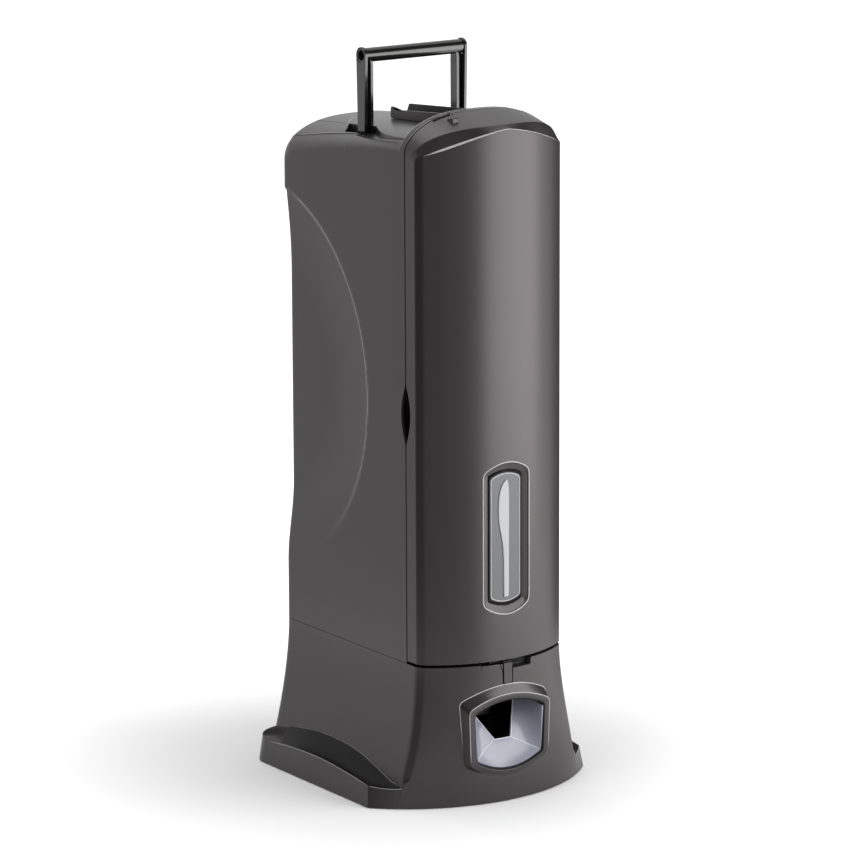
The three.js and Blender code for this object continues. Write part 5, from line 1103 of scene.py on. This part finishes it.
# Painted highlights on the face's edges: pale lines down both folds and along the edge of the vee
def scoopHighlightEdges():
    start, grids = scoop["start"], []
    for share in (start, 1 - start):
        s = np.linspace(0.04, 0.98, 24)
        grids.append(beadGrid(scoopFace(np.full(24, share), s), (0, -0.8, 0.6), 0.3, 0.2, closed=False,
                              taper=thinEnds(24, 12 * 0.94)))
    t = np.concatenate([np.linspace(0.01, start - 0.004, 40), np.linspace(start, 1 - start, 30),
                        np.linspace(1 - start + 0.004, 0.99, 40)])
    grids.append(beadGrid(scoopFace(t, np.full(len(t), 0.985)), (0, -1, 0.1), 0.45, 0.35, closed=False,
                          taper=np.clip(40 * np.minimum(t - 0.01, 0.99 - t), 0, 1)))
    return grids


addPiece("scoop_tray", scoopGrids(), "milkyPolypropylene", "scoop", ["push_scoop"], smooth=False, limit=28)
shaftRadius, shaftHalf = scoop["shaft"]
shaft = turned([(0, -shaftHalf), (shaftRadius, -shaftHalf), (shaftRadius, shaftHalf), (0, shaftHalf)],
               (0, scoop["axleY"], scoop["axleZ"]), "x")
# painted shade: the cheeks and shaft behind the vee are near black, so that the inside reads as shade
addPiece("scoop_cheeks", [cheekGrid(-1), cheekGrid(1), shaft], "blackPartsAndPaintedShade", "scoop", edge=0.3)
addPiece("scoop_edge_highlights", scoopHighlightEdges(), "paintedHighlightPolypropylene", "scoop")
print("scoop made")


handle = {
    "y": 24.5, "pivotZ": 546.0, "topZ": 614.0, "innerX": 41.5, "outerX": 51.0, "plate": 2.6, "web": 2.4,
    "headRadius": 7.0, "footRadius": 5.0, "gripRadius": 6.0, "gripBore": 4.4, "gripHalf": 50.6, "eyeGap": 0.3,
    "saddleDrop": 3.0, "dimple": (2.6, 3.2), "dimpleDrop": 8.0,
    # the saddle's outline: across, and up from its top, or None at the pivot
    "saddle": [(-4.4, None), (4.4, None), (4.7, -5), (3.4, 0), (-3.4, 0), (-4.7, -5)],
}


# Side outline of an arm: a half circle round the bar, one round the pivot, and straight lines between them
def armLoop():
    h = handle
    head = arcPoints((h["y"], h["topZ"]), h["headRadius"], 0, np.pi, 60)
    foot = arcPoints((h["y"], h["pivotZ"]), h["footRadius"], np.pi, 2 * np.pi, 30)
    k = np.linspace(0, 1, 12)[1:-1, None]
    down, up = head[-1] + (foot[0] - head[-1]) * k, foot[-1] + (head[0] - foot[-1]) * k
    return np.concatenate([head, down, foot, up])


# Washer-like profile: a rectangle between two radii and two places along the axis, closed on itself
def bushing(inner, outer, start, end):
    return [(inner, start), (outer, start), (outer, end), (inner, end), (inner, start)]


# An arm: its outer plate with the eye for the bar, the inner saddle, the web between them, the boss at the
# pivot and a raised ring on the saddle
def armGrids(side):
    h = handle
    loop, y, low = armLoop(), h["y"], h["pivotZ"]
    angle = np.arctan2(loop[:, 1] - h["topZ"], loop[:, 0] - y)
    reach = h["gripRadius"] + h["eyeGap"]
    eye = np.stack([y + reach * np.cos(angle), h["topZ"] + reach * np.sin(angle)], axis=-1)
    outer, inner, saddleX = h["outerX"], h["outerX"] - h["plate"], h["innerX"]
    plateRings = ringLoft([np.concatenate([np.full((len(ring), 1), side * x), ring], axis=1)
                           for ring, x in ((loop, outer), (loop, inner), (eye, inner), (eye, outer))])
    saddleZ = h["topZ"] - h["saddleDrop"]
    saddle = [(y + across, low if up is None else saddleZ + up) for across, up in h["saddle"]]
    half = h["web"] / 2
    web = [(y - half, low), (y + half, low), (y + half, saddleZ), (y - half, saddleZ)]
    boss = [(0, side * saddleX), (h["footRadius"], side * saddleX), (h["footRadius"], side * (outer - 0.2)),
            (0, side * (outer - 0.2))]
    dimple = bushing(*h["dimple"], side * (saddleX - 0.2), side * (saddleX + 1))
    return [plateRings, prismGrids(saddle, side * saddleX, side * (saddleX + h["plate"]), "x"),
            prismGrids(web, side * (saddleX + 0.2), side * (inner + 0.2), "x"),
            turned(boss, (0, y, low), "x"), turned(dimple, (0, y, saddleZ - h["dimpleDrop"]), "x")]


barProfile = bushing(handle["gripBore"], handle["gripRadius"], -handle["gripHalf"], handle["gripHalf"])
addPiece("grip_bar", [turned(barProfile, (0, handle["y"], handle["topZ"]), "x", 64)],
         "polishedBlackNylon", "handle", ["handle_grip"], edge=0.4)
for side, hand in ((-1, "left"), (1, "right")):
    addPiece("grip_arm_" + hand, armGrids(side), "polishedBlackNylon", "handle", ["handle_arm_" + hand],
             edge=0.45)
print("handle made")


latch = {
    "halfWidth": 9.5, "wall": 2.0, "floor": 1.6, "rearY": 43.0, "noseY": -71.0, "rearHeight": 7.6,
    "frontHeight": 10.5, "farRise": 3.4, "farBendY": -58.0, "seat": 0.3,
    # the keel goes down through the deck: half its width, its front and rear, and how deep it reaches
    "keel": (3.0, -28.0, -16.0, -13.0),
}


# A point drawn level is turned about X by the deck's fall and set on the deck's crown
def onDeck(grid):
    points = grid["points"]
    fall = math.atan(housing["deckFall"])
    y, z = points[..., 1], points[..., 2]
    grid["points"] = np.stack([points[..., 0], y * math.cos(fall) + z * math.sin(fall),
                               z * math.cos(fall) - y * math.sin(fall) + deckCrown(0.0)], axis=-1)
    return grid


# The slide's near wall with its raised finger end and the keel, then its far wall and floor, drawn level
def latchGrids():
    k = latch
    low, rear, nose, high = k["seat"], k["rearY"], k["noseY"], k["rearHeight"]
    near = [(nose, low), (rear - 0.8, low), (rear, low + 1.2), (rear, high - 0.8), (rear - 0.4, high + 1.6),
            (rear - 1.6, high + 2.6), (rear - 3.0, high + 1.8), (rear - 6.2, high), (nose, k["frontHeight"])]
    far = [(nose, low), (rear + 2.0, low), (rear + 2.0, low + 3.0), (rear - 2.5, high + k["farRise"]),
           (k["farBendY"], k["frontHeight"] + k["farRise"] - 1), (nose, k["frontHeight"])]
    inner = k["halfWidth"] - k["wall"]
    floor = [(nose, low), (rear - 0.5, low), (rear - 0.5, low + k["floor"]), (nose, low + k["floor"])]
    half, start, end, deep = k["keel"]
    keel = [(start, deep), (end, deep), (end, low + 0.4), (start, low + 0.4)]
    outside = [onDeck(prismGrids(near, -k["halfWidth"], -inner, "x")),
               onDeck(prismGrids(keel, -half, half, "x"))]
    inside = [onDeck(prismGrids(far, inner, k["halfWidth"], "x")),
              onDeck(prismGrids(floor, -inner - 0.3, inner + 0.3, "x"))]
    return outside, inside


latchOutside, latchShadedInside = latchGrids()
addPiece("latch_channel", latchOutside, "mouldedCharcoalAbs", "latch", ["latch_slide"], edge=0.35)
# painted shade: the channel's far wall and floor take the darker inner colour, as they lie in shade
addPiece("latch_inside_shaded", latchShadedInside, "innerAbsAndPaintedShade", "latch", edge=0.35)
print("latch made")


# A remaining node's own solid, copied, merged, its flat faces joined and its edges rounded
def dressed(node, look, edge):
    mesh = frame["nodes"][node].data.copy()
    shape = bmesh.new()
    shape.from_mesh(mesh)
    bmesh.ops.remove_doubles(shape, verts=shape.verts, dist=meshing["mergeMm"] / 1000)
    bmesh.ops.dissolve_limit(shape, angle_limit=math.radians(1), verts=shape.verts, edges=shape.edges)
    shape.to_mesh(mesh)
    shape.free()
    mesh.materials.clear()
    mesh.shade_smooth()
    mesh.set_sharp_from_angle(angle=math.radians(30))
    placePiece(node + "_dressed", mesh, look, bodyOf[node], [node], edge, 30)


bodyOf = {node: body for body, nodes in frame["record"]["behaviour"]["bodies"].items() for node in nodes}
# by finish: the nodes, and how far their edges are rounded
plainNodes = {
    "innerAbsAndPaintedShade": (["base_plate", "magazine_guide_left", "magazine_guide_right", "follower_weight",
                          "hopper", "shuttle_track"], 0.4),
    "nitrileRubber": (["foot_front_left", "foot_front_right", "foot_rear_left", "foot_rear_right"], 0.3),
    # painted shade: the shuttle is near black so that it reads as shade inside the vee
    "blackPartsAndPaintedShade": (["door_pivot_pin", "door_key_tab", "shuttle"], 0.2),
    "blackenedSteel": (["door_keeper", "handle_pin_left", "handle_pin_right", "latch_retainer",
                        "scoop_axle"], 0.2),
    "zincPlatedSteel": ([part + place for part in ("base_screw", "housing_screw")
                         for place in ("_front_left", "_rear_left", "_front_right", "_rear_right")], 0.2),
}
for look, (nodes, edge) in plainNodes.items():
    for node in nodes:
        dressed(node, look, edge)
for node in ("latch_spring", "return_spring"):
    dressed(node, "zincPlatedSteel", 0)
print("remaining nodes dressed")


stage = {
    "floorColour": "#f0f0f0", "floorReach": 30.0, "nearGlow": 0.05, "farGlow": 0.75, "glowFrom": 0.12,
    "glowTo": 0.62, "worldStrength": 0.5,
    # tone of the cards round the object by azimuth, in degrees to the right of the front
    "cards": [
        {"height": 1.1, "tones": [(-172, 0.9), (-112, 0.8), (-98, 0.02), (-56, 0.02), (-40, 0.4), (4, 0.5)]},
        {"height": 1.1, "tones": [(80, 0.05), (124, 0.05)]},
        {"height": 0.42, "tones": [(124, 0.03), (188, 0.03)]},
    ],
    "cardRadius": 0.5, "cardFloor": 0.002,
    "ceiling": {"halfWidth": 1.3, "frontY": -1.7, "rearY": -0.12, "height": 1.5, "tone": 0.02},
}
# metres and watts; the fill stays out of the gloss, where it would leave a patch on the dark side
lamps = {
    "rightSoftbox": {"place": (0.59, -0.79, 0.46), "target": (0.0, -0.1, 0.4), "size": (1.0, 0.9),
                     "watts": 11.5},
    "leftFill": {"place": (-2.4, -0.9, 2.2), "target": (0.0, 0.0, 0.3), "size": (1.6, 1.6), "watts": 14,
                 "inGloss": False},
    "overhead": {"place": (-0.4, 0.7, 2.7), "target": (0.0, 0.0, 0.3), "size": (2.4, 2.0), "watts": 22},
}
# degrees and metres; the focal length is in pixels of the photograph
view = {"azimuth": 33.724, "elevation": 12.407, "roll": 0.243, "eye": (-2.248, -3.3602, 1.1892),
        "focalPixels": 4923.97, "photoPixels": 850, "sensorMm": 36, "clipEnd": 100}


# Rectangular lamp turned towards its target
def areaLight(name, place, target, size, watts, inGloss=True):
    data = bpy.data.lights.new(name, "AREA")
    data.shape = "RECTANGLE"
    data.size, data.size_y = size
    data.energy = watts
    lamp = newObject(name, data)
    lamp.location = place
    lamp.rotation_euler = (Vector(target) - Vector(place)).to_track_quat("-Z", "Y").to_euler()
    lamp.visible_glossy = inGloss


# 1 for the rays that show the white backdrop itself: seen by the camera, in gloss and through clear plastic
def backdropRays(tree):
    rays = addNode(tree, "ShaderNodeLightPath").outputs
    gloss = addNode(tree, "ShaderNodeMath", {0: rays["Is Camera Ray"], 1: rays["Is Glossy Ray"]},
                    operation="MAXIMUM")
    clear = addNode(tree, "ShaderNodeMath", {0: gloss.outputs[0], 1: rays["Is Transmission Ray"]},
                    operation="MAXIMUM")
    return clear.outputs[0]


# Pale floor that glows more with distance, and a world that lights evenly and shows white
def makeStage():
    mesh = bpy.data.meshes.new("floor")
    reach = stage["floorReach"]
    corners = [(-reach, -reach, 0), (reach, -reach, 0), (reach, reach, 0), (-reach, reach, 0)]
    mesh.from_pydata(corners, [], [(0, 1, 2, 3)])
    floor = newObject("floor", mesh)
    material = bpy.data.materials.new("paintedFloor")
    tree = emptyTree(material)
    # close to the object the floor shines little, so that its shadow stays; far away it runs into the white
    place = addNode(tree, "ShaderNodeTexCoord")
    away = addNode(tree, "ShaderNodeVectorMath", {0: place.outputs["Object"]}, operation="LENGTH")
    glowing = addNode(tree, "ShaderNodeMapRange", {
        "Value": away.outputs["Value"], "From Min": stage["glowFrom"], "From Max": stage["glowTo"],
        "To Min": stage["nearGlow"], "To Max": stage["farGlow"]}, interpolation_type="SMOOTHSTEP")
    seen = addNode(tree, "ShaderNodeMath", {0: backdropRays(tree), 1: glowing.outputs["Result"]},
                   operation="MULTIPLY")
    paint = addNode(tree, "ShaderNodeBsdfDiffuse", {"Color": toLinear(stage["floorColour"])})
    glow = addNode(tree, "ShaderNodeEmission", {"Strength": seen.outputs[0]})
    both = addNode(tree, "ShaderNodeAddShader", {0: paint.outputs[0], 1: glow.outputs[0]})
    addNode(tree, "ShaderNodeOutputMaterial", {"Surface": both.outputs[0]})
    mesh.materials.append(material)
    world = bpy.data.worlds.new("studio")
    bpy.context.scene.world = world
    tree = emptyTree(world)
    plain = addNode(tree, "ShaderNodeBackground", {"Color": (1, 1, 1, 1), "Strength": stage["worldStrength"]})
    white = addNode(tree, "ShaderNodeBackground", {"Color": (1, 1, 1, 1), "Strength": 1.0})
    mixed = addNode(tree, "ShaderNodeMixShader", {0: backdropRays(tree), 1: plain.outputs[0],
                                                  2: white.outputs[0]})
    addNode(tree, "ShaderNodeOutputWorld", {"Surface": mixed.outputs[0]})


# Grey card that only the gloss sees, so that it darkens what faces it and leaves the light as it is
def makeCard(name, points, quads, tones):
    mesh = bpy.data.meshes.new(name)
    mesh.from_pydata(points.tolist(), [], quads.tolist())
    shades = mesh.attributes.new("tone", "FLOAT", "POINT")
    shades.data.foreach_set("value", np.asarray(tones, dtype=np.float32))
    card = newObject(name, mesh)
    material = bpy.data.materials.new(name + "Felt")
    tree = emptyTree(material)
    tone = addNode(tree, "ShaderNodeAttribute", attribute_name="tone")
    felt = addNode(tree, "ShaderNodeEmission", {"Strength": tone.outputs["Fac"]})
    addNode(tree, "ShaderNodeOutputMaterial", {"Surface": felt.outputs[0]})
    mesh.materials.append(material)
    for ray in ("camera", "diffuse", "transmission", "shadow", "volume_scatter"):
        setattr(card, "visible_" + ray, False)


# Side cards: strips of a cylinder round the object, their tone running from mark to mark
def makeCards():
    for number, card in enumerate(stage["cards"]):
        marks = np.array(card["tones"], dtype=float)
        azimuth = np.linspace(marks[0, 0], marks[-1, 0], 60)
        tones = np.interp(azimuth, marks[:, 0], marks[:, 1])
        turn = np.radians(azimuth)
        ring = np.stack([np.sin(turn), -np.cos(turn)], axis=-1) * stage["cardRadius"]
        points = np.concatenate([np.concatenate([ring, np.full((len(ring), 1), z)], axis=1)
                                 for z in (stage["cardFloor"], card["height"])])
        makeCard("sideCard" + str(number), points, gridQuads(2, len(ring)), np.tile(tones, 2))


# Dark card overhead, for the tops that would mirror the white above the lamps
def makeCeiling():
    c = stage["ceiling"]
    plan = ((-1, "frontY"), (1, "frontY"), (1, "rearY"), (-1, "rearY"))
    corners = np.array([(side * c["halfWidth"], c[edge], c["height"]) for side, edge in plan])
    makeCard("ceilingCard", corners, np.array([[3, 2, 1, 0]]), np.full(4, c["tone"]))


# Camera at the photograph's angle: its back axis from azimuth and elevation, then the picture's roll
def makeCamera():
    azimuth, elevation, roll = (math.radians(view[k]) for k in ("azimuth", "elevation", "roll"))
    level = math.cos(elevation)
    back = Vector((-math.sin(azimuth) * level, -math.cos(azimuth) * level, math.sin(elevation)))
    right = Vector((math.cos(azimuth), -math.sin(azimuth), 0))
    up = back.cross(right)
    rightRolled = math.cos(roll) * right - math.sin(roll) * up
    upRolled = math.sin(roll) * right + math.cos(roll) * up
    data = bpy.data.cameras.new("camera")
    data.lens = view["focalPixels"] / view["photoPixels"] * view["sensorMm"]
    data.sensor_width = view["sensorMm"]
    data.clip_end = view["clipEnd"]
    camera = newObject("camera", data)
    x, y, z = view["eye"]
    turn = Matrix((rightRolled, upRolled, back)).transposed().to_4x4()
    camera.matrix_world = Matrix.Translation((x, y + column["centringY"] / 1000, z)) @ turn
    bpy.context.scene.camera = camera


makeStage()
makeCards()
makeCeiling()
for name, lamp in lamps.items():
    areaLight(name, **lamp)
makeCamera()
bpy.context.scene.view_settings.view_transform = "Standard"
print("stage, light and camera set")
